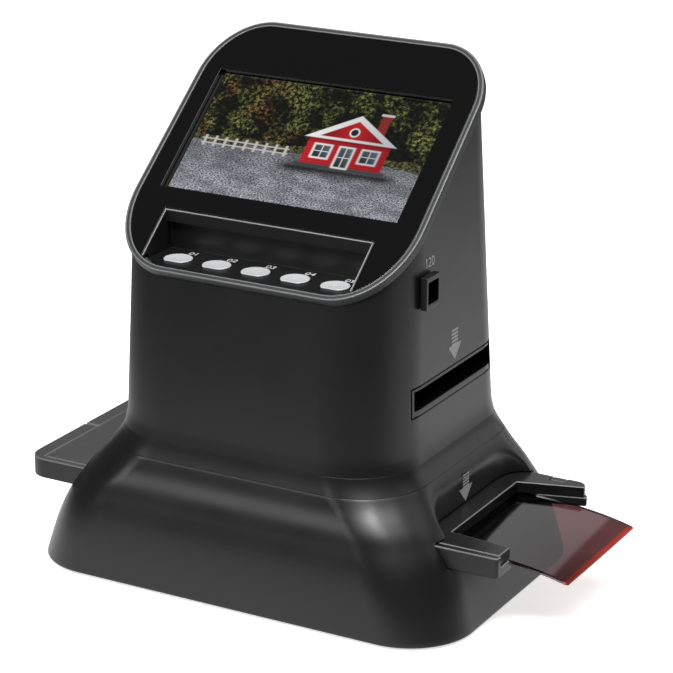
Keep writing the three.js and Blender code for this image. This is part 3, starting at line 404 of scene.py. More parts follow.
def drawn_in(points, width):
    """The closed counter-clockwise outline, offset inward."""
    result = []
    for before, point, after in zip(points[-1:] + points[:-1], points, points[1:] + points[:1]):
        first = (Vector(point) - Vector(before)).normalized()
        second = (Vector(after) - Vector(point)).normalized()
        normals = Vector((-first.y, first.x)), Vector((-second.y, second.x))
        scale = width / max(0.3, 1 + normals[0].dot(normals[1]))
        result.append(tuple(Vector(point) + (normals[0] + normals[1]) * scale))
    return result


def pillow(name, points, low, high, radius, matrix):
    """A slab whose upper edge is rounded."""
    levels, steps = [(0.0, low)], 3
    for i in range(steps + 1):
        angle = i / steps * math.pi / 2
        levels.append((radius * (1 - math.cos(angle)), high - radius * (1 - math.sin(angle))))
    outlines = [(drawn_in(points, inset), height) for inset, height in levels]
    loops = [[matrix @ Vector((x, y, height)) for x, y in outline] for outline, height in outlines]
    return lofted(name, loops)


def arc_points(x, y, radius, first, last, steps=10):
    """Points on an arc, its angles in quarter turns."""
    angles = [(first + (last - first) * i / steps) * math.pi / 2 for i in range(steps + 1)]
    return [(x + radius * math.cos(angle), y + radius * math.sin(angle)) for angle in angles]


def block(x0, x1, y0, y1, z0, z1, matrix=Matrix.Identity(4)):
    """A cutter with six flat sides."""
    return slab("cutter", [(x0, y0), (x1, y0), (x1, y1), (x0, y1)], z0, z1, matrix)


def lettering(name, body, height, place):
    """Raised figures, a hair thick, standing on the place's plane."""
    text = bpy.data.curves.new(name, "FONT")
    text.body = body
    text.size = height / FIGURE_SHARE
    text.align_x = "CENTER"
    text.align_y = "BOTTOM_BASELINE"
    text.extrude = FIGURE_HALF
    piece = link(name, text)
    bpy.context.view_layer.update()
    mesh = bpy.data.meshes.new_from_object(piece.evaluated_get(bpy.context.evaluated_depsgraph_get()))
    mesh.transform(place)
    bpy.data.objects.remove(piece)
    return link(name, mesh)


def from_origin():
    return Matrix.Translation(origin())


def carve(piece, cutters, operation="DIFFERENCE"):
    """Cuts the cutters out of the piece, or joins them to it, and removes them."""
    for cutter in cutters:
        step = piece.modifiers.new("carve", "BOOLEAN")
        step.operation = operation
        step.solver = "EXACT"
        step.object = cutter
        settle(piece)
        bpy.data.objects.remove(cutter)
    return piece


def settle(piece):
    """Applies the piece's modifiers to its mesh."""
    bpy.context.view_layer.update()
    graph = bpy.context.evaluated_depsgraph_get()
    mesh = bpy.data.meshes.new_from_object(piece.evaluated_get(graph), depsgraph=graph)
    old = piece.data
    piece.modifiers.clear()
    piece.data = mesh
    bpy.data.meshes.remove(old)
    return piece


def tidy_mesh(piece):
    """Welds doubled points and joins faces that lie in one plane."""
    bm = bmesh.new()
    bm.from_mesh(piece.data)
    bmesh.ops.remove_doubles(bm, verts=bm.verts, dist=HAIR)
    flat = math.radians(FLAT_DEGREES)
    bmesh.ops.dissolve_limit(
        bm, angle_limit=flat, verts=bm.verts, edges=bm.edges, use_dissolve_boundaries=False
    )
    bm.to_mesh(piece.data)
    bm.free()
    return piece


def choose_edges(piece, sharp_degrees, chosen):
    """Weighs the sharp edges that are chosen for rounding and marks the other sharp ones."""
    bm = bmesh.new()
    bm.from_mesh(piece.data)
    weight = bm.edges.layers.float.new("bevel_weight_edge")
    for edge in bm.edges:
        if edge.is_manifold and edge.calc_face_angle() > math.radians(sharp_degrees):
            if chosen(*(vert.co for vert in edge.verts)):
                edge[weight] = 1.0
            else:
                edge.smooth = False
    bm.to_mesh(piece.data)
    bm.free()


def soften(piece, width, sharp_degrees=32, steps=2, chosen=None):
    """Rounds the sharp edges, or the chosen ones of them, and shades flat faces flat and the rest smooth."""
    for polygon in piece.data.polygons:
        polygon.use_smooth = True
    if chosen:
        choose_edges(piece, sharp_degrees, chosen)
    bevel = piece.modifiers.new("edge", "BEVEL")
    bevel.width = width
    bevel.segments = steps
    bevel.limit_method = "WEIGHT" if chosen else "ANGLE"
    bevel.angle_limit = math.radians(sharp_degrees)
    bevel.use_clamp_overlap = False
    bevel.miter_outer = "MITER_ARC"
    weigh_normals(piece)
    return settle(piece)


def thicken(piece, thickness, offset=0):
    """Gives a sheet its thickness, both ways or to one side."""
    sheet = piece.modifiers.new("sheet", "SOLIDIFY")
    sheet.thickness = thickness
    sheet.offset = offset


def weigh_normals(piece):
    """Lets large faces decide the shading where they meet small ones."""
    normals = piece.modifiers.new("normals", "WEIGHTED_NORMAL")
    normals.keep_sharp = True
    normals.weight = 90


def copy_of(node, name):
    """A piece with the CAD node's own form, its flat faces whole again."""
    mesh = frame["nodes"][node].data.copy()
    mesh.materials.clear()
    mesh.name = name
    piece = link(name, mesh)
    return tidy_mesh(piece)


def rounded_copy(node, name, width, sharp_degrees=36, steps=2):
    """A piece with the CAD node's own form and rounded edges."""
    return soften(copy_of(node, name), width, sharp_degrees, steps)


def finish_piece(piece, looks, body, slot, *nodes):
    """Gives the piece its materials by name, attaches it to its body, and hides the CAD nodes that it stands
    for. Its slot argument is not used.
    """
    spread = [min(polygon.material_index, len(looks) - 1) for polygon in piece.data.polygons]
    piece.data.materials.clear()
    for name in looks:
        piece.data.materials.append(finish(name))
    for polygon, index in zip(piece.data.polygons, spread):
        polygon.material_index = index
    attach(piece, body)
    if nodes:
        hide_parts(*nodes)
    return piece


# Material helpers


class Nodes:
    """A material's node tree with short calls for the nodes that the looks use."""

    def __init__(self, name):
        self.material = bpy.data.materials.new(name)
        self.material.use_nodes = True
        self.tree = self.material.node_tree
        self.tree.nodes.clear()
        self.output = self.tree.nodes.new("ShaderNodeOutputMaterial")

    def add(self, kind, **settings):
        node = self.tree.nodes.new(kind)
        for key, value in settings.items():
            setattr(node, key, value)
        return node

    def put(self, socket, value):
        """Links a socket to another, or sets its value."""
        if isinstance(value, bpy.types.NodeSocket):
            self.tree.links.new(value, socket)
        elif value is not None:
            if hasattr(value, "__len__") and len(value) == 3 and len(socket.default_value) == 4:
                value = (*value, 1.0)
            socket.default_value = value

    def coordinates(self):
        return self.add("ShaderNodeTexCoord").outputs["Object"]

    def parts(self, vector):
        """The vector's three numbers."""
        node = self.add("ShaderNodeSeparateXYZ")
        self.put(node.inputs[0], vector)
        return list(node.outputs)

    def stretched(self, vector, scale):
        node = self.add("ShaderNodeMapping")
        self.put(node.inputs["Vector"], vector)
        self.put(node.inputs["Scale"], scale)
        return node.outputs[0]

    def noise(self, vector, scale, detail=3.0, roughness=0.55):
        node = self.add("ShaderNodeTexNoise")
        self.put(node.inputs["Vector"], vector)
        self.put(node.inputs["Scale"], scale)
        self.put(node.inputs["Detail"], detail)
        self.put(node.inputs["Roughness"], roughness)
        return node.outputs["Fac"]

    def math(self, operation, a, b=None):
        node = self.add("ShaderNodeMath", operation=operation)
        self.put(node.inputs[0], a)
        self.put(node.inputs[1], b)
        return node.outputs[0]

    def product(self, *values):
        """All the values multiplied together."""
        result = values[0]
        for value in values[1:]:
            result = self.math("MULTIPLY", result, value)
        return result

    def distance(self, x, y, middle_x, middle_y):
        """Distance in the plane from a place on it."""
        across = self.math("SUBTRACT", x, middle_x)
        along = self.math("SUBTRACT", y, middle_y)
        return self.math("SQRT", self.math("ADD", self.product(across, across), self.product(along, along)))

    def span(self, value, low, high, to_low=0.0, to_high=1.0, smooth=False):
        """The value's place between low and high, carried to another range."""
        node = self.add("ShaderNodeMapRange", clamp=True)
        if smooth:
            node.interpolation_type = "SMOOTHSTEP"
        self.put(node.inputs["Value"], value)
        for name, number in zip(("From Min", "From Max", "To Min", "To Max"), (low, high, to_low, to_high)):
            self.put(node.inputs[name], number)
        return node.outputs["Result"]

    def mix(self, share_of, a, b):
        node = self.add("ShaderNodeMix", data_type="RGBA")
        self.put(node.inputs["Factor"], share_of)
        self.put(node.inputs[6], a)
        self.put(node.inputs[7], b)
        return node.outputs[2]

    def bump(self, height, strength, distance):
        node = self.add("ShaderNodeBump")
        self.put(node.inputs["Strength"], strength)
        self.put(node.inputs["Distance"], distance)
        self.put(node.inputs["Height"], height)
        return node.outputs["Normal"]

    def principled(self, **values):
        node = self.add("ShaderNodeBsdfPrincipled")
        for key, value in values.items():
            self.put(node.inputs[key.replace("_", " ")], value)
        return node.outputs[0]

    def surface(self, shader):
        self.tree.links.new(shader, self.output.inputs["Surface"])
        return self.material


def tinted(base, factor):
    return tuple(min(1.0, channel * factor) for channel in base)


def moulded(name, base, rough, grain_scale=1800.0, grain=0.12, grain_depth=0.04 * MM, cloud=0.12, shine=0.5):
    """Moulded plastic: a fine grain in the bump, and faint clouds in the colour and the roughness."""
    cloud_scale, patch_scale, fleck_tint, swing = 28.0, 60.0, 1.6, 0.03
    n = Nodes(name)
    spot = n.coordinates()
    clouds = n.noise(spot, cloud_scale, 2.0)
    fine = n.noise(spot, grain_scale, 2.0, 0.6)
    base_colour = n.mix(n.span(clouds, 0.3, 0.7), tinted(base, 1 - cloud), tinted(base, 1 + cloud))
    flecked = n.mix(n.span(fine, 0.62, 0.8, 0.0, 0.25), base_colour, tinted(base, fleck_tint))
    roughness = n.span(n.noise(spot, patch_scale, 3.0), 0.25, 0.75, rough - swing, rough + swing)
    normal = n.bump(fine, grain, grain_depth)
    return n.surface(n.principled(
        Base_Color=flecked, Roughness=roughness, Specular_IOR_Level=shine, Normal=normal
    ))


def moulded_kinds():
    """The plastics, the rubber and the inks by name, each with what moulded() needs."""
    s = look()
    smooth = dict(grain_scale=2400.0, grain=0.05, grain_depth=0.02 * MM, cloud=0.06)
    silky = dict(grain_scale=2600.0, grain=0.05, grain_depth=0.02 * MM, cloud=0.04)
    rough_grain = dict(grain_scale=1100.0, grain=0.6, grain_depth=0.12 * MM, cloud=0.2)
    ink = dict(rough=0.5, grain_scale=3000.0, grain=0.05, grain_depth=0.01 * MM)
    return {
        "satin_shell": dict(base=s.shell, rough=s.shell_rough),
        "dark_plastic": dict(base=s.dark, rough=0.55, grain_scale=1400.0, grain=0.15),
        # Near-black, matt plastic for the channel's inside and the knob's hollow: painted shade
        "deep_plastic": dict(base=tinted(s.dark, 0.3), rough=0.8, grain_scale=1400.0, grain=0.1, shine=0.0),
        "well_plastic": dict(base=s.well, rough=0.34, grain_scale=2200.0, grain=0.04, shine=0.42),
        "rim_plastic": dict(base=s.rim, rough=0.34, **smooth),
        # Paler plastic on the rim's edge strips: a painted highlight
        "line_plastic": dict(base=tinted(s.line, 0.24), rough=0.3, **smooth),
        # Paler plastic of the strip round the button notch: a painted highlight
        "notch_line": dict(base=tinted(s.line, 0.4), rough=0.3, **smooth),
        "key_plastic": dict(base=s.key, rough=0.3, **silky),
        # The buttons' sides, far darker than their caps: painted shade
        "key_side": dict(base=tinted(s.key, 0.12), rough=0.4, **silky),
        "grained_tray": dict(base=s.tray, rough=0.36, **rough_grain),
        # Darker, duller plastic on the fork's inner walls: painted shade
        "fork_wall": dict(base=tinted(s.tray, 0.4), rough=0.55, shine=0.12, **rough_grain),
        # Paler plastic on the tray's upward-facing rounded edges: a painted highlight
        "worn_edge": dict(
            base=tinted(s.tray, s.wear), rough=0.3, grain_scale=900.0, grain=0.2, grain_depth=0.05 * MM,
            cloud=0.15,
        ),
        "circuit_board": dict(
            base=s.board, rough=0.4, grain_scale=500.0, grain=0.15, grain_depth=0.1 * MM, cloud=0.25
        ),
        "lamp_white": dict(base=s.lamp, rough=0.5, grain_scale=1500.0, grain=0.08, cloud=0.03),
        "foot_rubber": dict(
            base=s.rubber, rough=0.85, grain_scale=1300.0, grain=0.4, grain_depth=0.1 * MM, cloud=0.2
        ),
        "mark_ink": dict(base=s.mark, cloud=0.1, **ink),
        "number_ink": dict(base=s.number, cloud=0.1, **ink),
        "label_ink": dict(base=s.label, cloud=0.1, **ink),
        "sign_ink": dict(base=s.sign, cloud=0.05, **ink),
    }


def steel(name):
    """Plain steel with fine streaks."""
    n = Nodes(name)
    streaks = n.noise(n.stretched(n.coordinates(), (1.0, 1.0, 14.0)), 400.0, 3.0)
    roughness = n.span(streaks, 0.3, 0.7, 0.26, 0.4)
    base = n.mix(streaks, look().steel_dark, look().steel_pale)
    normal = n.bump(streaks, 0.08, 0.04 * MM)
    return n.surface(n.principled(Base_Color=base, Roughness=roughness, Metallic=1.0, Normal=normal))


def plate_gloss(name):
    """Polished black, with the slight waviness of a moulded plate."""
    n = Nodes(name)
    spot = n.coordinates()
    wave = n.noise(spot, 9.0, 1.0)
    roughness = n.span(n.noise(spot, 40.0, 4.0), 0.3, 0.7, 0.08, 0.12)
    base = n.mix(wave, tinted(look().gloss, 0.9), tinted(look().gloss, 1.1))
    return n.surface(n.principled(Base_Color=base, Roughness=roughness, Normal=n.bump(wave, 0.05, 1 * MM)))


def lens_glass(name):
    """Clear glass with faint clouds in its tint."""
    n = Nodes(name)
    tint = n.mix(n.noise(n.coordinates(), 300.0, 2.0), look().lens_dark, look().lens_pale)
    return n.surface(n.principled(Base_Color=tint, Roughness=0.03, Transmission_Weight=1.0, IOR=1.5))


def film_base(name):
    """Clear tinted film: what is behind shows through its tint, under a glossy face."""
    end_width, end_soft, film_ior = 1.8 * MM, 0.8 * MM, 1.48
    n = Nodes(name)
    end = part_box("film_strip")[1].x - end_width
    spot = n.coordinates()
    wave = n.noise(spot, 30.0, 2.0)
    tint = n.mix(wave, tinted(look().film, 0.92), tinted(look().film, 1.08))
    tint = n.mix(n.span(n.parts(spot)[0], end - end_soft, end), tint, look().film_edge)
    clear = n.add("ShaderNodeBsdfTransparent")
    n.put(clear.inputs["Color"], tint)
    gloss = n.add("ShaderNodeBsdfGlossy")
    n.put(gloss.inputs["Color"], [look().film_gloss] * 3)
    n.put(gloss.inputs["Roughness"], n.span(wave, 0.3, 0.7, 0.06, 0.1))
    edge = n.add("ShaderNodeFresnel")
    n.put(edge.inputs["IOR"], film_ior)
    outer = n.math("SUBTRACT", 1.0, n.add("ShaderNodeNewGeometry").outputs["Backfacing"])
    blend = n.add("ShaderNodeMixShader")
    n.put(blend.inputs[0], n.product(edge.outputs[0], outer))
    n.put(blend.inputs[1], clear.outputs[0])
    n.put(blend.inputs[2], gloss.outputs[0])
    return n.surface(blend.outputs[0])


def above(n, value, line):
    """1 where the value is over the line, with a soft edge."""
    return n.span(n.math("SUBTRACT", value, line), -0.004, 0.004)


def scenery(n, even, x, y):
    """The picture's dark trees, with a grass verge and a gravel lane below them."""
    leaves = n.noise(even, 34.0, 8.0, 0.8)
    crowns = n.noise(even, 5.0, 4.0, 0.6)
    light = n.product(n.span(leaves, 0.48, 0.64), n.span(crowns, 0.46, 0.6, 0.04, 1.0))
    trees = n.mix(light, (0.0, 0.0, 0.0), (0.3, 0.34, 0.09))
    patches = n.span(n.noise(even, 3.2, 2.0), 0.5, 0.58)
    autumn = n.product(patches, n.span(x, 0.5, 0.2), n.span(leaves, 0.5, 0.64))
    trees = n.mix(autumn, trees, (0.3, 0.13, 0.04))
    flat = n.stretched(even, (1.0, 2.6, 1.0))
    gravel = n.noise(flat, 62.0, 2.0, 0.9)
    wheels = n.noise(flat, 4.0, 3.0, 0.6)
    stones = n.mix(n.span(gravel, 0.42, 0.6), (0.02, 0.021, 0.028), (0.6, 0.61, 0.68))
    road = n.mix(n.span(wheels, 0.4, 0.6, 0.0, 0.5), stones, (0.03, 0.031, 0.038))
    road = n.mix(n.span(y, 0.1, 0.4, 0.0, 0.5), road, (0.045, 0.046, 0.055))
    grass = n.mix(n.span(leaves, 0.45, 0.65), (0.002, 0.003, 0.001), (0.2, 0.19, 0.08))
    edge = n.math("ADD", n.product(n.noise(even, 4.0, 2.0), 0.14), 0.35)
    verge = n.math("ADD", edge, 0.06)
    return n.mix(above(n, y, edge), road, n.mix(above(n, y, verge), grass, trees))


def cottage(n, view, x, y):
    """The picture's red and white cottage with its gable, windows and fence, before the view."""
    stone, pale_stone, fence = (0.05, 0.05, 0.055), (0.5, 0.48, 0.46), (0.5, 0.49, 0.46)

    def box(x0, x1, y0, y1, soft=0.004):
        across = n.product(n.span(x, x0 - soft, x0 + soft), n.span(x, x1 + soft, x1 - soft))
        up = n.product(n.span(y, y0 - soft, y0 + soft), n.span(y, y1 + soft, y1 - soft))
        return n.product(across, up)

    boards = n.math("FRACT", n.product(y, 46.0))
    red = n.mix(n.span(boards, 0.72, 0.95), (0.5, 0.012, 0.02), (0.16, 0.004, 0.007))
    red = n.mix(n.span(x, 0.5, 0.86, 0.0, 0.55), red, (0.13, 0.003, 0.006))
    red = n.mix(n.span(y, 0.53, 0.585, 0.0, 0.75), red, (0.05, 0.002, 0.003))
    white = n.mix(n.span(x, 0.5, 0.86), (0.8, 0.79, 0.76), (0.42, 0.43, 0.46))
    view = n.mix(n.product(box(0.42, 0.9, 0.28, 0.345, 0.03), 0.92), view, (0.004, 0.004, 0.005))
    view = n.mix(box(0.47, 0.86, 0.33, 0.365), view, stone)
    view = n.mix(box(0.49, 0.84, 0.36, 0.58), view, red)
    view = n.mix(box(0.75, 0.79, 0.66, 0.83, 0.003), view, (0.2, 0.02, 0.018))
    view = n.mix(box(0.742, 0.798, 0.82, 0.84, 0.003), view, pale_stone)
    middle, eaves, slope, trim = 0.665, 0.572, 1.12, 0.05
    aside = n.math("ABSOLUTE", n.math("SUBTRACT", x, middle))
    roof_line = n.math("SUBTRACT", 0.8, n.product(aside, slope))
    view = n.mix(n.product(above(n, roof_line, y), n.span(y, eaves, eaves + 0.008)), view, white)
    inner_line = n.math("SUBTRACT", roof_line, trim)
    gable = n.product(above(n, inner_line, y), n.span(y, eaves + 0.02, eaves + 0.028))
    view = n.mix(gable, view, n.mix(n.span(aside, 0.0, 0.16), (0.42, 0.01, 0.016), (0.1, 0.003, 0.005)))
    ring = n.distance(n.product(aside, 1.75), y, 0.0, 0.655)
    view = n.mix(n.span(ring, 0.042, 0.036), view, white)
    view = n.mix(n.span(ring, 0.03, 0.024), view, (0.01, 0.014, 0.02))
    slant = n.math("ADD", x, n.product(y, 0.6))
    for x0, x1, y0, y1 in ((0.53, 0.595, 0.42, 0.52), (0.735, 0.80, 0.42, 0.52), (0.638, 0.692, 0.36, 0.52)):
        view = n.mix(box(x0 - 0.009, x1 + 0.009, y0 - 0.014, y1 + 0.014), view, white)
        glint = n.mix(n.span(slant, x0 + y0 * 0.6, x1 + y1 * 0.6), (0.002, 0.003, 0.005), (0.09, 0.12, 0.15))
        view = n.mix(box(x0, x1, y0, y1), view, glint)
        across, up = (x0 + x1) / 2, (y0 + y1) / 2
        view = n.mix(box(across - 0.002, across + 0.002, y0, y1, 0.002), view, white)
        view = n.mix(box(x0, x1, up - 0.003, up + 0.003, 0.002), view, white)
    for i in range(9):
        post = 0.05 + i * 0.045
        view = n.mix(box(post, post + 0.011, 0.38, 0.47, 0.003), view, fence)
    for rail in (0.4, 0.438):
        view = n.mix(box(0.04, 0.43, rail, rail + 0.01, 0.003), view, fence)
    return view


def lit_picture(name):
    """A lit picture of a red and white cottage by a grey lane, under dark trees."""
    n = Nodes(name)
    spot = n.add("ShaderNodeUVMap", uv_map="picture").outputs[0]
    x, y, _ = n.parts(spot)
    even = n.stretched(spot, (face().picture_width / face().picture_height, 1.0, 1.0))
    view = cottage(n, scenery(n, even, x, y), x, y)
    return n.surface(n.principled(
        Base_Color=(0.003, 0.003, 0.003), Roughness=0.12, Emission_Color=view, Emission_Strength=1.0
    ))


OTHER_KINDS = {
    "plain_steel": steel, "plate_gloss": plate_gloss, "lens_glass": lens_glass, "film_base": film_base,
    "lit_picture": lit_picture,
}
made_materials = {}


def finish(name):
    """The material of this name, made when it is first asked for."""
    if name not in made_materials:
        make = OTHER_KINDS.get(name)
        made_materials[name] = make(name) if make else moulded(name, **moulded_kinds()[name])
    return made_materials[name]


# Operators


class ScannerOperator(bpy.types.Operator):
    """Base of the scanner's operators: runs make and lets its errors stop the script."""

    def execute(self, context):
        self.make()
        return {"FINISHED"}


# The material of a CAD node that stays, by its slot
SLOT_LOOKS = {
    "satin_black": "dark_plastic", "rim_grey": "rim_plastic", "gloss_black": "plate_gloss",
    "key_grey": "key_plastic", "display_picture": "plate_gloss", "film_base": "film_base",
    "board_green": "circuit_board", "bare_steel": "plain_steel", "foot_rubber": "foot_rubber",
    "lamp_white": "lamp_white", "lens_clear": "lens_glass",
}


class SCANNER_OT_inner(ScannerOperator):
    """Give every CAD node that stays its procedural material"""

    bl_idname = "scanner.inner"
    bl_label = "Dress the CAD nodes"

    def make(self):
        slots = {row["node"]: row["material_slot"] for row in frame["record"]["subparts"]}
        for name, node in frame["nodes"].items():
            node.data.materials.clear()
            node.data.materials.append(finish(SLOT_LOOKS[slots[name]]))


def shell_loops(levels, wall):
    """Loops up the outside of a shell and down its inside."""
    outside = [skin_loop(height, inset) for height, inset in levels]
    inside = [skin_loop(height, wall) for height, _ in reversed(levels)]
    return outside + inside


def plain_levels(low, high, step):
    """Heights at even steps from low to high, each with no inset."""
    steps = max(1, round((high - low) / step))
    return [(low + (high - low) * i / steps, 0.0) for i in range(steps + 1)]


class SCANNER_OT_base(ScannerOperator):
    """Build the flared base with its scooped bays and the tray's slot"""

    bl_idname = "scanner.base"
    bl_label = "Base"

    bay_wall: length("Bay wall", 66.5, "Place of the bay's back wall")
    bay_middle: length("Bay middle", -10.3, "Bay's middle along the depth")
    bay_half: length("Bay half length", 36.4, "Half the bay's length")
    bay_along: length("Bay corner along", 14.5, "Bay corner's radius along the depth")
    bay_across: length("Bay corner across", 9.6, "Bay corner's radius across")
    bay_reach: length("Bay reach", 44, "Half the length of side that is drawn finely round the bay")
    blend_low: length("Lower blend", 0.9, "Softness of the bay's edge at the tray")
    blend_high: length("Upper blend", 4, "Softness of the bay's edge at its top")
    bottom_round: length("Bottom rounding", 0.9, "Rounding of the base's lower edge")
    shoulder: length("Shoulder", 0.22, "How far the soft shoulder leaves the plain curve")
    shoulder_height: length("Shoulder height", 39.6, "Height of the soft shoulder")
    shoulder_reach: length("Shoulder reach", 8.3, "Height over which the shoulder runs out")
    corner_foot: length("Corner foot", 12.5, "How far below the shoulder's middle its corners stay sharper")
    corner_fall: length("Corner fall", 1.9, "How much the front corners' radius falls at the shoulder")
    joint_line: length("Joint line", 0.1, "Depth of the fine line between the housings")
    slot_low: length("Slot low", 23.9, "Lower edge of the tray's slot")
    slot_high: length("Slot high", 32.45, "Upper edge of the tray's slot")
    slot_front: length("Slot front", -54.15, "Front edge of the tray's slot")
    slot_rear: length("Slot rear", 27.85, "Rear edge of the tray's slot")
    end_slope: share("End slope", 40, "How steeply the bay's surface leaves the base beyond its ends", 1, 100)
    corner_steps: count("Corner steps", 20, "Faces round each corner")

    def bay_surface(self, y, wall):
        """Place of the bay's wall, deeper by the wall's thickness for the shell's inside."""
        away = abs(y - self.bay_middle)
        half = self.bay_half + wall
        start = half - self.bay_along
        if away <= start:
            return self.bay_wall - wall
        turn = min(1.0, (away - start) / self.bay_along)
        steep = max(0.0, away - half) * self.end_slope
        return self.bay_wall - wall + self.bay_across * (1 - math.sqrt(1 - turn * turn)) + steep

    def scooped(self, x, y, height, wall):
        """The skin's place at this height, drawn in softly where the bay is deeper."""
        bay = self.bay_surface(y, wall)
        rise = (height - self.slot_high) / (skin().parting_height - self.slot_high)
        soft = self.blend_low + (self.blend_high - self.blend_low) * max(0.0, min(1.0, rise))
        lean = max(0.0, min(1.0, 0.5 + 0.5 * (bay - x) / soft))
        return bay * (1 - lean) + x * lean - soft * lean * (1 - lean)

    def side_places(self):
        """Places along the depth, close together where the bay's ends are steep."""
        many, few, step = 16, 4, 0.3 * MM
        start, half = self.bay_half - self.bay_along, self.bay_half
        beyond = half + few * step
        places = [start * i / many for i in range(many)]
        places += [start + self.bay_along * math.sin(i / many * math.pi / 2) for i in range(many + 1)]
        places += [half + step * i for i in range(1, few + 1)]
        places += [beyond + (self.bay_reach - beyond) * i / few for i in range(1, few + 1)]
        places = [-place for place in reversed(places[1:])] + places
        return [self.bay_middle + place for place in places]

    def shoulder_place(self, height, foot):
        """Place of a height on the shoulder: 0 at its middle, 1 at its top, -1 where its foot runs out."""
        above_middle = height - self.shoulder_height
        return max(-1.0, min(1.0, above_middle / (self.shoulder_reach if above_middle > 0 else foot)))

    def swell(self, height):
        """How far the shoulder stands out under its middle, or falls back over it, from the plain curve."""
        place = self.shoulder_place(height, self.shoulder_reach)
        return -self.shoulder * math.sin(math.pi * place) * (1 - place * place)

    def loop(self, height, inset, scoop):
        """Points round the base at this height, drawn in by the inset, with or without the scooped bays."""
        half, front, back, front_radius, rear_radius = skin_sizes(height, inset - self.swell(height))
        place = self.shoulder_place(height, self.corner_foot)
        front_radius -= self.corner_fall * math.cos(math.pi / 2 * place) ** 2
        places = self.side_places()
        front_y, rear_y = front_radius - front, back - rear_radius
        first = math.asin(max(-1.0, min(0.0, (places[0] - front_y) / front_radius))) / (math.pi / 2)
        last = math.asin(min(1.0, max(0.0, (places[-1] - rear_y) / rear_radius))) / (math.pi / 2)
        side = arc_points(half - front_radius, front_y, front_radius, -1, first, self.corner_steps)[:-1]
        for y in places:
            radius = front_radius if y < front_y else rear_radius
            past = min(y - front_y, 0.0) if y < front_y else max(y - rear_y, 0.0)
            x = half - radius + math.sqrt(max(radius * radius - past * past, 0.0))
            side.append((self.scooped(x, y, height, inset) if scoop else x, y))
        side += reversed(arc_points(half - rear_radius, rear_y, rear_radius, 1, last, self.corner_steps)[:-1])
        points = side + [(-x, y) for x, y in reversed(side)]
        return [origin() + Vector((x, y, height)) for x, y in points]

    def make(self):
        s = skin()
        r, beside, coarse, fine = self.bottom_round, 0.05 * MM, 1.5 * MM, 0.9 * MM
        top = s.parting_height - self.joint_line
        # The rounding's start, and its points at about a third and two thirds of the turn
        levels = [(0.0, r), (r * 0.13, r * 0.5), (r * 0.5, r * 0.13)]
        levels += plain_levels(r, self.slot_low - beside, coarse)
        levels += plain_levels(self.slot_low + beside, top, fine)
        levels.append((s.parting_height, self.joint_line))
        outside = [self.loop(height, inset, height > self.slot_low) for height, inset in levels]
        bay_low = self.slot_low - s.wall
        inside = [self.loop(height, s.wall, height > bay_low) for height, _ in reversed(levels)]
        shell = lofted("base_shell", outside + inside, ring=True)
        far, place = s.base_half_width + PAST, from_origin()
        cutter = block(-far, far, self.slot_front, self.slot_rear, self.slot_low, self.slot_high, place)
        carve(shell, [cutter])
        slot_edges = [origin().z + self.slot_low, origin().z + self.slot_high]

        def at_slot(a, b):
            return any(abs(a.z - z) < NEAR and abs(b.z - z) < NEAR for z in slot_edges)

        soften(shell, 0.35 * MM, 42, chosen=at_slot)
        finish_piece(shell, ["satin_shell"], "housing", "satin_black", "base_housing")


class SCANNER_OT_tower(ScannerOperator):
    """Build the tower's shell with its slots and its sloping top"""

    bl_idname = "scanner.tower"
    bl_label = "Tower"

    slot_front: length("Slot front", -42.25, "Front edge of the holder slot's cut")
    slot_rear: length("Slot rear", 24.25, "Rear edge of the holder slot's cut")
    slot_low: length("Slot low", 72.65, "Lower edge of the holder slot's cut")
    slot_high: length("Slot high", 83.95, "Upper edge of the holder slot's cut")
    stem_front: length("Stem front", -35.05, "Front edge of the knob's slot")
    stem_rear: length("Stem rear", -29.15, "Rear edge of the knob's slot")
    stem_low: length("Stem low", 113.05, "Lower end of the knob's slot")
    stem_high: length("Stem high", 121.95, "Upper end of the knob's slot")
    socket_gap: length("Socket gap", 0.35, "Gap round the rear sockets")
    stem: length("Stem", 52, "Inner end of the cut for the knob's slot")

    def make(self):
        s = skin()
        groove, line, lift, fine, coarse = 0.1 * MM, 0.06 * MM, 0.03 * MM, 1.1 * MM, 8 * MM
        start, fillet, top = s.parting_height + groove, s.fillet_height, face().middle_height + face().top
        levels = [(s.parting_height + lift, groove), (start, 0.0)]
        levels += plain_levels(start, fillet - line, fine)[1:]
        levels += [(fillet, line), (fillet + line, 0.0)]
        levels += plain_levels(fillet + line, s.flare_height, fine)[1:]
        levels += plain_levels(s.flare_height, top, coarse)[1:]
        shell = lofted("tower_shell", shell_loops(levels, s.wall), ring=True)
        reach, far, gap, place = 0.3, s.tower_half_width + PAST, self.socket_gap, from_origin()
        cutters = [
            block(-reach, reach, -reach, reach, -face().rim_thickness, reach, face_matrix()),
            block(-far, far, self.slot_front, self.slot_rear, self.slot_low, self.slot_high, place),
            block(self.stem, far, self.stem_front, self.stem_rear, self.stem_low, self.stem_high, place),
        ]
        for node in ("card_socket", "usb_socket"):
            low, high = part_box(node)
            cutters.append(block(
                low.x - gap, high.x + gap, high.y - gap, high.y + PAST, low.z - gap, high.z + gap
            ))
        carve(shell, cutters)
        front, rear = origin().y + self.slot_front - CLEAR, origin().y + self.slot_rear + CLEAR
        highest = self.stem_high + 3 * CLEAR

        def at_slots(a, b):
            between = s.flare_height < min(a.z, b.z) and max(a.z, b.z) < highest
            return between and all(front < point.y < rear for point in (a, b))

        soften(shell, 0.3 * MM, 38, chosen=at_slots)
        finish_piece(shell, ["satin_shell"], "housing", "satin_black", "upper_housing")


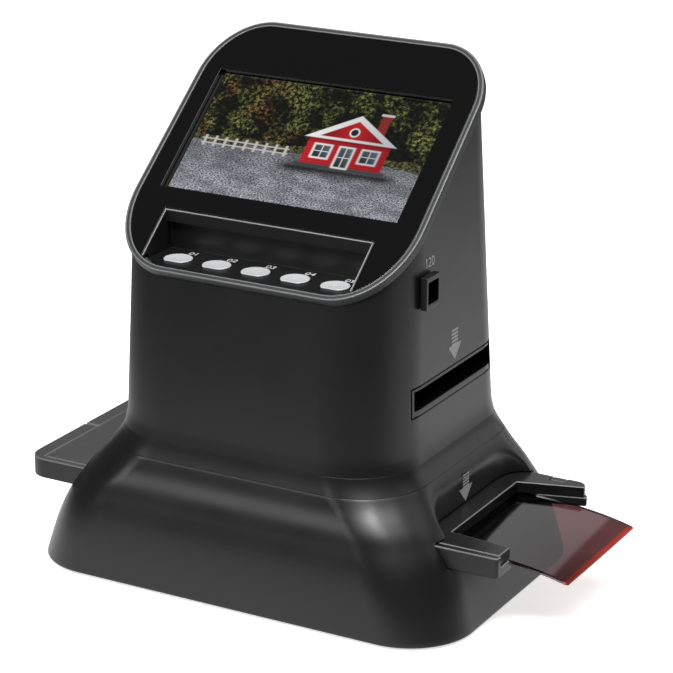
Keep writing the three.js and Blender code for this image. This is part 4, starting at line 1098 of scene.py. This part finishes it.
class SCANNER_OT_face(ScannerOperator):
    """Build the face's rim and its polished plate"""

    bl_idname = "scanner.face"
    bl_label = "Face"

    rim_round: length("Rim rounding", 0.45, "Rounding of the rim's outer edge")
    inner_round: share("Inner rounding", 0.6, "Rounding of the inner edge, as a share of the outer one's")
    rim_foot: length("Rim foot", 0.8, "Height of the rim's plain foot")
    # Widths of the flat strips beside the rim's roundings that carry the painted highlight
    highlight_outer: length("Outer line", 0.3, "Width of the pale line along the rim's outer edge")
    highlight_inner: length("Inner line", 0.3, "Width of the pale line along the rim's inner edge")
    # Sizes of the paler strip round the notch, a painted highlight
    notch_stand: length("Notch stand", 0.03, "How far the pale line stands over the face")
    notch_line: length("Notch line", 0.45, "Width of the pale line round the button notch")
    notch_inner_half: length("Notch inner half", 42.6, "Half the width of the well behind the notch")
    notch_inner_top: length("Notch inner top", -38.41, "Upper edge of the well behind the notch")
    notch_foot: length("Notch foot", -59.2, "Where the notch's sides end at the rim")
    notch_half: length("Notch half width", 43.55, "Half the width of the button notch")
    notch_top: length("Notch top", -37.17, "Upper edge of the button notch")
    highlight_sink: length("Line sink", 0.4, "How far the pale line round the notch reaches into the plate")

    def rim(self):
        """The rim, with a paler strip along each of its upper edges: a painted highlight."""
        s = face()
        r, small = self.rim_round, self.rim_round * self.inner_round
        low, seat = -s.rim_thickness, -s.plate_sink - s.plate_thickness - s.plate_gap
        inner, turn = s.rim_width + s.rim_ledge, s.rim_width - small
        profile = [(0.0, low), (0.0, low + self.rim_foot)]
        profile += [(r - x, y - r) for x, y in arc_points(0, 0, r, 0, 1, 6)]
        profile += [(r + self.highlight_outer, 0.0), (turn - self.highlight_inner, 0.0)]
        profile += [(turn + y, x - small) for x, y in arc_points(0, 0, small, 0, 1, 4)]
        profile += [(s.rim_width, seat), (inner, seat), (inner, low)]
        # The profile's strips on the upper halves of both roundings, and the flat ones beside them, which get
        # the paler plastic of a painted highlight
        highlit = (5, 6, 7, 8, 10, 11, 12)
        place = face_matrix()
        loops = [[place @ Vector((x, y, depth)) for x, y in face_outline(inset)] for inset, depth in profile]
        ring = lofted("face_rim", loops, ring=True)
        around = len(loops[0])
        for index, polygon in enumerate(ring.data.polygons):
            polygon.use_smooth = True
            polygon.material_index = 1 if index // around in highlit else 0
        ring.data.set_sharp_from_angle(angle=math.radians(SMOOTH_DEGREES))
        finish_piece(ring, ["rim_plastic", "line_plastic"], "housing", "rim_grey", "face_bezel")

    def plate(self):
        s = face()
        through, beyond, place = 20 * MM, 100 * MM, face_matrix()
        outline = face_outline(s.rim_width + s.plate_gap)
        plate = slab("face_plate", outline, -s.plate_sink - s.plate_thickness, -s.plate_sink, place)
        left, right = s.window_right - s.window_width / 2, s.window_right + s.window_width / 2
        low, high = s.window_up - s.window_height / 2, s.window_up + s.window_height / 2
        window = block(left, right, low, high, -through, through, place)
        notch = block(-self.notch_half, self.notch_half, -beyond, self.notch_top, -through, through, place)
        carve(plate, [window, notch])
        soften(plate, 0.18 * MM, 40)
        finish_piece(plate, ["plate_gloss"], "housing", "gloss_black", "front_plate")

    def line(self):
        """A paler strip on the button well's upper rim: a painted highlight along the notch's edge."""
        half, top, wide, foot = self.notch_inner_half, self.notch_inner_top, self.notch_line, self.notch_foot
        outline = [
            (-half - wide, foot), (-half - wide, top + wide), (half + wide, top + wide), (half + wide, foot),
            (half, foot), (half, top), (-half, top), (-half, foot),
        ]
        strip = slab("notch_line", outline, -self.highlight_sink, self.notch_stand, face_matrix())
        soften(strip, 0.02 * MM, 40, 1)
        finish_piece(strip, ["notch_line"], "housing", "rim_grey")

    def make(self):
        self.rim()
        self.plate()
        self.line()


class SCANNER_OT_display(ScannerOperator):
    """Build the display's glass with a generic picture"""

    bl_idname = "scanner.display"
    bl_label = "Display"

    glass_gap: length("Glass gap", 0.3, "Gap between the plate and the glass")
    picture_lift: length("Picture lift", 0.04, "How far the lit picture lies over the glass")
    picture_thickness: length("Picture thickness", 0.03, "Thickness of the lit picture")

    def make(self):
        s = face()
        glass = rounded_copy("display_glass", "display_panel", 0.2 * MM, 32)
        finish_piece(glass, ["plate_gloss"], "housing", "display_picture", "display_glass")
        place = face_matrix()
        depth = -s.plate_sink - s.plate_thickness - self.glass_gap + self.picture_lift
        half, tall = s.picture_width / 2, s.picture_height / 2
        corners = [(-half, -tall), (half, -tall), (half, tall), (-half, tall)]
        bm = bmesh.new()
        spots = [place @ Vector((s.picture_right + x, y, depth)) for x, y in corners]
        sheet = bm.faces.new([bm.verts.new(spot) for spot in spots])
        marks = bm.loops.layers.uv.new("picture")
        for loop, (x, y) in zip(sheet.loops, corners):
            loop[marks].uv = ((x + half) / (2 * half), (y + tall) / (2 * tall))
        mesh = bpy.data.meshes.new("display_picture")
        bm.to_mesh(mesh)
        bm.free()
        piece = link("display_picture", mesh)
        thicken(piece, self.picture_thickness, -1)
        finish_piece(piece, ["lit_picture"], "housing", "display_picture")


class SCANNER_OT_well(ScannerOperator):
    """Build the button well, the buttons and their marks"""

    bl_idname = "scanner.well"
    bl_label = "Buttons"

    cap_radius: length("Cap radius", 5.35, "Radius of a button")
    cap_flat: share("Cap flat", 0.8, "Place of the flat front edge, as a share of the radius")
    cap_round: length("Cap rounding", 0.35, "Rounding of a button's rim")
    cap_dish: length("Cap dish", 0.25, "Depth of a button's finger dish")
    cap_stand: length("Cap stand", 0.6, "How far a button stands over its ledge")
    cap_depth: length("Cap depth", 3.5, "Height of a button's cap")
    sign_size: length("Sign size", 1.3, "Size that the signs on the buttons are drawn to")
    sign_sink: share("Sign sink", 0.82, "Depth of the signs, as a share of the finger dish's")
    numeral_back: length("Number back", 6.9, "Distance from a button's middle to its number")
    numeral_aside: length("Number aside", 1.6, "How far right of a button's middle its number stands")
    numeral_height: length("Number height", 3, "Height of a button's number")

    def cap_loop(self, radius, height, centre):
        """Points round a button, flat along its front."""
        flat = math.asin(self.cap_flat) / (math.pi / 2)
        outline = arc_points(0, 0, radius, -flat, 2 + flat, 36)
        return [centre + Vector((x, y, height)) for x, y in outline]

    def cap(self, index):
        """A button: its dished cap on the CAD node's own stem."""
        node = f"button_{index}"
        low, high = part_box(node)
        centre = Vector(((low.x + high.x) / 2, (low.y + high.y) / 2, high.z))
        radius, edge, edge_steps, dish_steps = self.cap_radius, self.cap_round, 4, 8
        loops = [self.cap_loop(radius, -self.cap_depth, centre), self.cap_loop(radius, -edge, centre)]
        for x, y in arc_points(radius - edge, -edge, edge, 0, 1, edge_steps)[1:]:
            loops.append(self.cap_loop(x, y, centre))
        for i in range(1, dish_steps + 1):
            out = 1 - i / (dish_steps + 0.5)
            loops.append(self.cap_loop((radius - edge) * out, -self.cap_dish * (1 - out**2), centre))
        cap = lofted(f"{node}_cap", loops)
        stem = copy_of(node, "stem")
        carve(stem, [block(
            low.x - CLEAR, high.x + CLEAR, low.y - CLEAR, high.y + CLEAR, high.z - 3 * CLEAR, high.z + CLEAR
        )])
        carve(cap, [stem], "UNION")
        soften(cap, 0.06 * MM, 50, 1)
        # Faces below the cap's rounded rim get the far darker grey of painted shade
        for polygon in cap.data.polygons:
            polygon.material_index = 1 if polygon.center.z < high.z - edge - HAIR else 0
        finish_piece(cap, ["key_plastic", "key_side"], node, "key_grey", node)
        self.sign(index, centre)
        self.numeral(index, centre)

    def sign(self, index, centre):
        """A small sign on a button: a dot, arrows, a ring or a square."""
        around, size, lift = 24, self.sign_size, -self.cap_dish * self.sign_sink
        shapes = {
            1: arc_points(0, 0, 0.6, 0, 4, 16)[:-1],
            2: [(0.6, 0.8), (-0.9, 0.0), (0.6, -0.8)],
            4: [(-0.6, -0.8), (0.9, 0.0), (-0.6, 0.8)],
            5: [(-0.7, -0.7), (0.7, -0.7), (0.7, 0.7), (-0.7, 0.7)],
        }
        bm = bmesh.new()

        def corners(shape):
            return [bm.verts.new(centre + Vector((x * size, y * size, lift))) for x, y in shape]

        if index in shapes:
            bm.faces.new(corners(shapes[index]))
        else:
            inner, outer = (corners(arc_points(0, 0, radius, 0, 4, around)[:-1]) for radius in (0.6, 0.9))
            for i in range(around):
                j = (i + 1) % around
                bm.faces.new((inner[i], inner[j], outer[j], outer[i]))
        piece = to_piece(f"button_{index}_sign", bm)
        thicken(piece, INK)
        finish_piece(piece, ["sign_ink"], f"button_{index}", "key_grey")

    def numeral(self, index, centre):
        """A small printed number on the ledge behind a button."""
        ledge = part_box("button_1")[1].z - self.cap_stand
        spot = Vector((centre.x + self.numeral_aside, centre.y + self.numeral_back, ledge + HAIR))
        place = Matrix.Translation(spot)
        piece = lettering(f"button_{index}_number", f"0{index}", self.numeral_height, place)
        finish_piece(piece, ["label_ink"], "housing", "key_grey")

    def make(self):
        well = rounded_copy("button_well", "well", 0.2 * MM)
        finish_piece(well, ["well_plastic"], "housing", "satin_black", "button_well")
        for index in range(1, 6):
            self.cap(index)


class SCANNER_OT_openings(ScannerOperator):
    """Dress the holder channel and the slide knob"""

    bl_idname = "scanner.openings"
    bl_label = "Channel and knob"

    lip: length("Lip", 0.5, "Depth of the frame before its dark inside")
    knob_rim: length("Knob rim", 0.45, "Depth of the knob's rim before its dark hollow")

    def shade_inside(self, piece, low, high):
        """Gives the faces that lie deeper than the lip the second, darker material, as painted shade."""
        for polygon in piece.data.polygons:
            inside = abs(polygon.center.x - origin().x) < (high.x - low.x) / 2 - self.lip
            polygon.material_index = 1 if inside else 0

    def shade_hollow(self, piece, low, high):
        """Gives the floor and the walls of the knob's hollow the second, darker material, as painted shade.
        """
        middle = (low + high) / 2
        for polygon in piece.data.polygons:
            deep = middle.x < polygon.center.x < high.x - self.knob_rim
            inward = (middle - polygon.center).yz.dot(polygon.normal.yz) > 0 or polygon.normal.x > 0.5
            polygon.material_index = 1 if deep and inward else 0

    def make(self):
        plastics = ["satin_shell", "deep_plastic"]
        channel = rounded_copy("upper_channel", "holder_channel", 0.3 * MM)
        finish_piece(channel, plastics, "housing", "satin_black", "upper_channel")
        self.shade_inside(channel, *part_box("upper_channel"))
        knob = rounded_copy("format_knob", "slide_knob", 0.3 * MM, steps=3)
        finish_piece(knob, plastics, "format_switch", "satin_black", "format_knob")
        self.shade_hollow(knob, *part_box("format_knob"))


class SCANNER_OT_tray(ScannerOperator):
    """Build the film tray, its lid and the film"""

    bl_idname = "scanner.tray"
    bl_label = "Tray and film"

    edge: length("Edge rounding", 0.45, "Rounding of the tray's edges")
    fork_start: length("Fork start", 74.2, "Inner edge of the tray's crossbar")
    fork_end: length("Fork end", 99.3, "Tray's right end")
    fork_near: length("Fork near", -39.4, "Inner edge of the near arm at the crossbar")
    fork_near_spread: length("Near spread", 2.5, "How far the near arm's inner edge falls back")
    fork_far: length("Fork far", 15.4, "Inner edge of the far arm at the crossbar")
    fork_far_spread: length("Far spread", 7.6, "How far the far arm's inner edge falls back")
    far_radius: length("Far corner", 4.5, "Radius of the far arm's end")
    knuckle_end: length("Knuckle from end", 12.5, "Place of each hinge knuckle, from the tray's end")
    knuckle_half: length("Knuckle room", 3.2, "Half the length of the room round a knuckle")
    knuckle_depth: length("Knuckle depth", 4, "Depth of the room round a knuckle")
    gate_width: length("Gate width", 60, "Width of the lid's window")
    gate_depth: length("Gate depth", 56, "Depth of the lid's window")
    gate_middle: length("Gate middle", -12.9, "Middle of the lid's window along the depth")
    film_half: length("Film half", 0.07, "Half the film's thickness")
    film_sink: length("Film sink", 0.15, "Depth of the film's middle below the top of its room")
    film_play: length("Film play", 0.05, "Gap along each of the film's long edges")
    film_droop: length("Film droop", 4.85, "Drop of the film's free end")
    droop_power: share("Droop power", 2.6, "How late the film bends down", 1, 6)
    film_curl: length("Film curl", 0.25, "How far the film's edges curl up at its free end")
    corner_start: share("Corner start", 0.965, "Start of the film's corners, as a share of its free length")
    corner_inset: length("Corner inset", 0.9, "How far the film's corners are drawn in")

    def make(self):
        # The tray's plastic, its painted highlight on the rounded edges and its painted shade on the fork's
        # walls
        plastics = ["grained_tray", "worn_edge", "fork_wall"]
        tray = rounded_copy("film_tray", "tray_body", self.edge, steps=3)
        finish_piece(tray, plastics, "tray", "satin_black", "film_tray")
        self.spread_plastics(tray)
        lid = self.lid()
        finish_piece(lid, plastics, "tray", "satin_black", "tray_cover")
        self.spread_plastics(lid)
        for index in (1, 2):
            pin = rounded_copy(f"tray_hinge_pin_{index}", f"hinge_pin_{index}", 0.1 * MM)
            finish_piece(pin, ["plain_steel"], "tray", "bare_steel", f"tray_hinge_pin_{index}")
        self.film()

    def spread_plastics(self, piece):
        """Gives the rounded upper edges a paler plastic, a painted highlight, and the fork's inner walls a
        darker, duller one, painted shade.
        """
        side, flat = 0.25, 0.97
        for polygon in piece.data.polygons:
            # Upward-facing rounded edges get the painted highlight, and walls facing into the fork the
            # painted shade
            highlighted = side < polygon.normal.z < flat
            wall = polygon.normal.z <= side and self.in_fork(polygon.center - origin(), polygon.normal)
            polygon.material_index = 1 if highlighted else 2 if wall else 0

    def in_fork(self, place, facing):
        """Whether a face of the tray at this place looks into the fork."""
        if place.x < self.fork_start - self.edge:
            return False
        bar = facing.x > 0.5 and place.x < self.fork_start + self.edge
        near = facing.y > 0.5 and place.y < self.fork_near + self.edge
        far = facing.y < -0.5 and place.y > self.fork_far - self.edge
        return bar or near or far

    def lid(self):
        """The lid: a fork like the tray, with a window and with room for the hinge's knuckles."""
        low, high = (corner - origin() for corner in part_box("tray_cover"))
        share_out = (high.x - self.fork_start) / (self.fork_end - self.fork_start)
        near, far = self.fork_near, self.fork_far
        small, big = self.edge * 1.4, self.far_radius
        points = arc_points(high.x - small, low.y + small, small, 3, 4)
        points += [(high.x, near - self.fork_near_spread * share_out), (self.fork_start, near)]
        points += [(self.fork_start, far), (high.x, far + self.fork_far_spread * share_out)]
        points += arc_points(high.x - big, high.y - big, big, 0, 1)
        points += arc_points(low.x + small, high.y - small, small, 1, 2)
        points += arc_points(low.x + small, low.y + small, small, 2, 3)
        place = from_origin()
        lid = pillow("tray_lid", points, low.z, high.z, self.edge * 0.8, place)
        wide, deep, half = self.gate_width / 2, self.gate_depth / 2, self.knuckle_half
        openings = [(-wide, wide, self.gate_middle - deep, self.gate_middle + deep)]
        for x in (low.x + self.knuckle_end, self.fork_end - self.knuckle_end):
            openings.append((x - half, x + half, high.y - self.knuckle_depth, high.y + CLEAR))
        carve(lid, [block(*opening, low.z - CLEAR, high.z + CLEAR, place) for opening in openings])
        for polygon in lid.data.polygons:
            polygon.use_smooth = True
        lid.data.set_sharp_from_angle(angle=math.radians(SMOOTH_DEGREES))
        weigh_normals(lid)
        return settle(lid)

    def film(self):
        """The film: flat in the tray, drooping and slightly curled outside, with rounded corners."""
        low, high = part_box("film_strip")
        flat_steps, free_steps, rows = 4, 40, 24
        start, play = origin().x + self.fork_start, self.film_play
        middle_y, half_width = (low.y + high.y) / 2, (high.y - low.y) / 2
        columns = [low.x + (start - low.x) * i / flat_steps for i in range(flat_steps)]
        columns += [start + (high.x - start) * i / free_steps for i in range(free_steps + 1)]
        places = [low.y + play + (high.y - low.y - 2 * play) * i / rows for i in range(rows + 1)]
        bm = bmesh.new()
        grid = []
        for x in columns:
            along = max(0.0, (x - start) / (high.x - start))
            z = high.z - self.film_sink - self.film_droop * along**self.droop_power
            corner = self.corner_inset * max(0.0, (along - self.corner_start) / (1 - self.corner_start)) ** 2
            line = []
            for y in places:
                side = (y - middle_y) / half_width
                inward = -side * corner if abs(side) > 0.96 else 0.0
                line.append(bm.verts.new((x, y + inward, z + self.film_curl * along * (side * side - 1))))
            grid.append(line)
        for a, b in zip(grid, grid[1:]):
            for i in range(rows):
                bm.faces.new((a[i], b[i], b[i + 1], a[i + 1]))
        film = to_piece("film", bm)
        for polygon in film.data.polygons:
            polygon.use_smooth = True
        thicken(film, 2 * self.film_half)
        settle(film)
        finish_piece(film, ["film_base"], "film", "film_base", "film_strip")


class SCANNER_OT_marks(ScannerOperator):
    """Print the two arrows and the format's number"""

    bl_idname = "scanner.marks"
    bl_label = "Marks"

    arrow_width: length("Arrow width", 10.4, "Width of an arrow's head")
    head_height: length("Head height", 5.6, "Height of an arrow's head")
    stripe_width: length("Stripe width", 5, "Width of the stripes over an arrow")
    number_height: length("Number height", 3.6, "Height of the format number")
    number_low: length("Number low", 126.2, "Height of the format number's foot")
    number_back: length("Number back", -28.9, "Place of the format number along the depth")
    upper_middle: length("Upper middle", -9.1, "Place of the upper arrow along the depth")
    upper_top: length("Upper top", 97.3, "Height of the upper arrow's top")
    upper_tip: length("Upper tip", 85.7, "Height of the upper arrow's tip")
    lower_middle: length("Lower middle", -12.8, "Place of the lower arrow along the depth")
    lower_top: length("Lower top", 43.7, "Height of the lower arrow's top")
    lower_tip: length("Lower tip", 32.8, "Height of the lower arrow's tip")
    lower_wall: length("Lower wall", 66.5, "Place of the bay's wall behind the lower arrow")

    def arrow(self, name, middle, top, tip, wall):
        """An arrow that points down on a wall; wall gives the wall's place at a height."""
        bm = bmesh.new()
        lift, step, stripes, gap = 0.05 * MM, 0.6 * MM, 4, 0.45

        def outline(points):
            bm.faces.new([bm.verts.new(origin() + Vector((wall(z) + lift, y, z))) for y, z in points])

        shoulder = tip + self.head_height
        left, right = middle - self.stripe_width / 2, middle + self.stripe_width / 2
        half = self.arrow_width / 2
        start = shoulder + step
        outline([
            (left, start), (left, shoulder), (middle - half, shoulder), (middle, tip),
            (middle + half, shoulder), (right, shoulder), (right, start),
        ])
        for i in range(stripes):
            low = start + (top - start) * (i + gap) / stripes
            high = start + (top - start) * (i + 1) / stripes
            outline([(left, low), (right, low), (right, high), (left, high)])
        piece = to_piece(name, bm)
        thicken(piece, INK)
        finish_piece(piece, ["mark_ink"], "housing", "key_grey")

    def number(self):
        """The printed number of the film's format beside the knob."""
        x = skin_sizes(self.number_low)[0] + 0.03 * MM
        lean = Matrix.Rotation(-math.atan(skin().side_draught), 4, "Y")
        turn = Matrix.Rotation(math.pi / 2, 4, "Z") @ Matrix.Rotation(math.pi / 2, 4, "X")
        place = Matrix.Translation(origin() + Vector((x, self.number_back, self.number_low))) @ lean @ turn
        figures = lettering("format_number", "120", self.number_height, place)
        finish_piece(figures, ["number_ink"], "housing", "key_grey")

    def make(self):
        walls = (lambda z: skin_sizes(z)[0]), (lambda z: self.lower_wall)
        self.arrow("upper_arrow", self.upper_middle, self.upper_top, self.upper_tip, walls[0])
        self.arrow("lower_arrow", self.lower_middle, self.lower_top, self.lower_tip, walls[1])
        self.number()


class SCANNER_OT_underside(ScannerOperator):
    """Dress the bottom cover, the feet and the screws"""

    bl_idname = "scanner.underside"
    bl_label = "Underside"

    def make(self):
        cover = rounded_copy("bottom_cover", "base_cover", 0.3 * MM)
        finish_piece(cover, ["dark_plastic"], "housing", "satin_black", "bottom_cover")
        for index in range(1, 5):
            node = f"foot_{index}"
            foot = rounded_copy(node, f"{node}_pad", 0.2 * MM, 30)
            finish_piece(foot, ["foot_rubber"], "housing", "foot_rubber", node)
            self.screw(f"cover_screw_{index}")

    def screw(self, node):
        """A screw with a cross recess in its head."""
        low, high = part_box(node)
        x, y = (low.x + high.x) / 2, (low.y + high.y) / 2
        long, short, deep = 1.8 * MM, 0.4 * MM, 0.7 * MM
        screw = copy_of(node, f"{node}_head")
        carve(screw, [
            block(x - wide, x + wide, y - tall, y + tall, low.z - CLEAR, low.z + deep)
            for wide, tall in ((long, short), (short, long))
        ])
        soften(screw, 0.12 * MM, 36, 1)
        finish_piece(screw, ["plain_steel"], "housing", "bare_steel", node)


def direction(azimuth, elevation):
    """From the object towards this azimuth and elevation."""
    level = math.cos(elevation)
    return Vector((math.sin(azimuth) * level, -math.cos(azimuth) * level, math.sin(elevation)))


class SCANNER_OT_stage(ScannerOperator):
    """Set the floor, the lights and the camera"""

    bl_idname = "scanner.stage"
    bl_label = "Stage"

    def floor(self):
        """Paper: white to the camera, dim in the light it throws back, a lit table where it is mirrored."""
        s = stage()
        bm = bmesh.new()
        bmesh.ops.create_grid(bm, x_segments=1, y_segments=1, size=3.0)
        mesh = bpy.data.meshes.new("floor")
        bm.to_mesh(mesh)
        bm.free()
        piece = link("floor", mesh)
        n = Nodes("floor_paper")
        ray = n.add("ShaderNodeLightPath").outputs
        seen = n.math("MAXIMUM", ray["Is Camera Ray"], ray["Is Transmission Ray"])
        whiteness = n.mix(seen, [s.floor_dim] * 3, [s.floor_white] * 3)
        paper = n.principled(Base_Color=whiteness, Roughness=0.9, Specular_IOR_Level=0.1)
        x, y, _ = n.parts(n.coordinates())
        fades = (
            (n.distance(x, y, 0.0, 0.0), s.table_full, s.table_end, 1.0, 0.0, True),
            (y, s.table_front, s.table_shade, 1.0, s.front_keeps),
            (x, s.table_left, s.left_shade, 1.0, s.left_keeps, True),
            (y, s.table_rear, s.rear_shade, 1.0, s.rear_keeps),
            (n.distance(x, y, s.spot_right, s.spot_depth), s.spot_dark, s.spot_end, s.spot_keeps, 1.0, True),
        )
        lit = n.product(*(n.span(*fade) for fade in fades))
        mirrored = n.product(ray["Is Glossy Ray"], lit, s.floor_mirrored)
        glow = n.add("ShaderNodeEmission")
        n.put(glow.inputs["Strength"], n.math("ADD", n.product(seen, s.floor_seen), mirrored))
        both = n.add("ShaderNodeAddShader")
        n.put(both.inputs[0], paper)
        n.put(both.inputs[1], glow.outputs[0])
        piece.data.materials.append(n.surface(both.outputs[0]))

    def world(self):
        """White where the camera sees it, and an even, weak light elsewhere."""
        world = bpy.data.worlds.new("studio")
        bpy.context.scene.world = world
        world.use_nodes = True
        tree = world.node_tree
        tree.nodes.clear()
        out = tree.nodes.new("ShaderNodeOutputWorld")
        ray = tree.nodes.new("ShaderNodeLightPath")
        mix = tree.nodes.new("ShaderNodeMixShader")
        for index, strength in ((1, stage().world_light), (2, 1.0)):
            room = tree.nodes.new("ShaderNodeBackground")
            room.inputs["Color"].default_value = (1, 1, 1, 1)
            room.inputs["Strength"].default_value = strength
            tree.links.new(room.outputs[0], mix.inputs[index])
        tree.links.new(ray.outputs["Is Camera Ray"], mix.inputs[0])
        tree.links.new(mix.outputs[0], out.inputs["Surface"])

    def lamp(self, name, azimuth, elevation, distance, width, height, roll=0):
        """A softbox that faces the object, by its direction from it in degrees and its size in metres."""
        brightness = getattr(stage(), f"{name}_light")
        light = bpy.data.lights.new(name, "AREA")
        light.shape = "RECTANGLE"
        light.size, light.size_y = width, height
        light.energy = brightness * math.pi * width * height
        lamp = bpy.data.objects.new(name, light)
        bpy.context.scene.collection.objects.link(lamp)
        away = direction(math.radians(azimuth), math.radians(elevation))
        lamp.location = Vector((0, 0, stage().lamp_aim)) + away * distance
        turn = Quaternion((0, 0, 1), math.radians(roll))
        lamp.rotation_euler = ((-away).to_track_quat("-Z", "Y") @ turn).to_euler()

    def camera(self):
        s = stage()
        back = direction(s.azimuth, s.elevation)
        right = Vector((math.cos(s.azimuth), math.sin(s.azimuth), 0))
        up = back.cross(right)
        x = right * math.cos(s.roll) + up * math.sin(s.roll)
        y = up * math.cos(s.roll) - right * math.sin(s.roll)
        data = bpy.data.cameras.new("camera")
        data.sensor_fit = "HORIZONTAL"
        data.sensor_width = 36
        data.lens = s.focal_length
        data.clip_start = 0.01
        camera = bpy.data.objects.new("camera", data)
        bpy.context.scene.collection.objects.link(camera)
        rows = [(x[i], y[i], back[i], s.camera_place[i]) for i in range(3)] + [(0, 0, 0, 1)]
        camera.matrix_world = Matrix(rows)
        bpy.context.scene.camera = camera

    def make(self):
        self.floor()
        self.world()
        self.lamp("front", azimuth=11, elevation=51, distance=1.1, width=0.75, height=0.1, roll=12)
        self.lamp("left", azimuth=-31, elevation=15, distance=1.1, width=0.7, height=0.08)
        self.lamp("side", azimuth=118, elevation=38, distance=1.1, width=0.5, height=0.35)
        self.lamp("rear", azimuth=150, elevation=10, distance=1.1, width=0.9, height=0.4)
        self.lamp("back", azimuth=-151, elevation=21, distance=1.2, width=0.85, height=0.48)
        self.lamp("top", azimuth=60, elevation=70, distance=1.1, width=0.8, height=0.8)
        self.camera()
        bpy.context.scene.view_settings.view_transform = "Standard"


class SCANNER_PT_panel(bpy.types.Panel):
    """The scanner's operators and settings"""

    bl_idname = "SCANNER_PT_panel"
    bl_label = "Film scanner"
    bl_space_type = "VIEW_3D"
    bl_region_type = "UI"
    bl_category = "Film scanner"

    def draw(self, context):
        for operator in OPERATORS:
            self.layout.operator(operator.bl_idname)
        for name in SETTINGS:
            group = getattr(context.scene, name)
            box = self.layout.box()
            for key in group.__annotations__:
                box.prop(group, key)


OPERATORS = [
    SCANNER_OT_inner, SCANNER_OT_base, SCANNER_OT_tower, SCANNER_OT_face, SCANNER_OT_display, SCANNER_OT_well,
    SCANNER_OT_openings, SCANNER_OT_tray, SCANNER_OT_marks, SCANNER_OT_underside, SCANNER_OT_stage,
]
SETTINGS = {
    "scanner_skin": ScannerSkinSettings,
    "scanner_face": ScannerFaceSettings,
    "scanner_look": ScannerLookSettings,
    "scanner_stage": ScannerStageSettings,
}


def register():
    for group in SETTINGS.values():
        bpy.utils.register_class(group)
    for operator in OPERATORS:
        bpy.utils.register_class(operator)
    bpy.utils.register_class(SCANNER_PT_panel)
    for name, group in SETTINGS.items():
        setattr(bpy.types.Scene, name, bpy.props.PointerProperty(type=group))


def unregister():
    for name in SETTINGS:
        delattr(bpy.types.Scene, name)
    bpy.utils.unregister_class(SCANNER_PT_panel)
    for operator in reversed(OPERATORS):
        bpy.utils.unregister_class(operator)
    for group in reversed(list(SETTINGS.values())):
        bpy.utils.unregister_class(group)


def main():
    register()
    for operator in OPERATORS:
        group, name = operator.bl_idname.split(".")
        getattr(getattr(bpy.ops, group), name)()


if __name__ == "__main__":
    main()
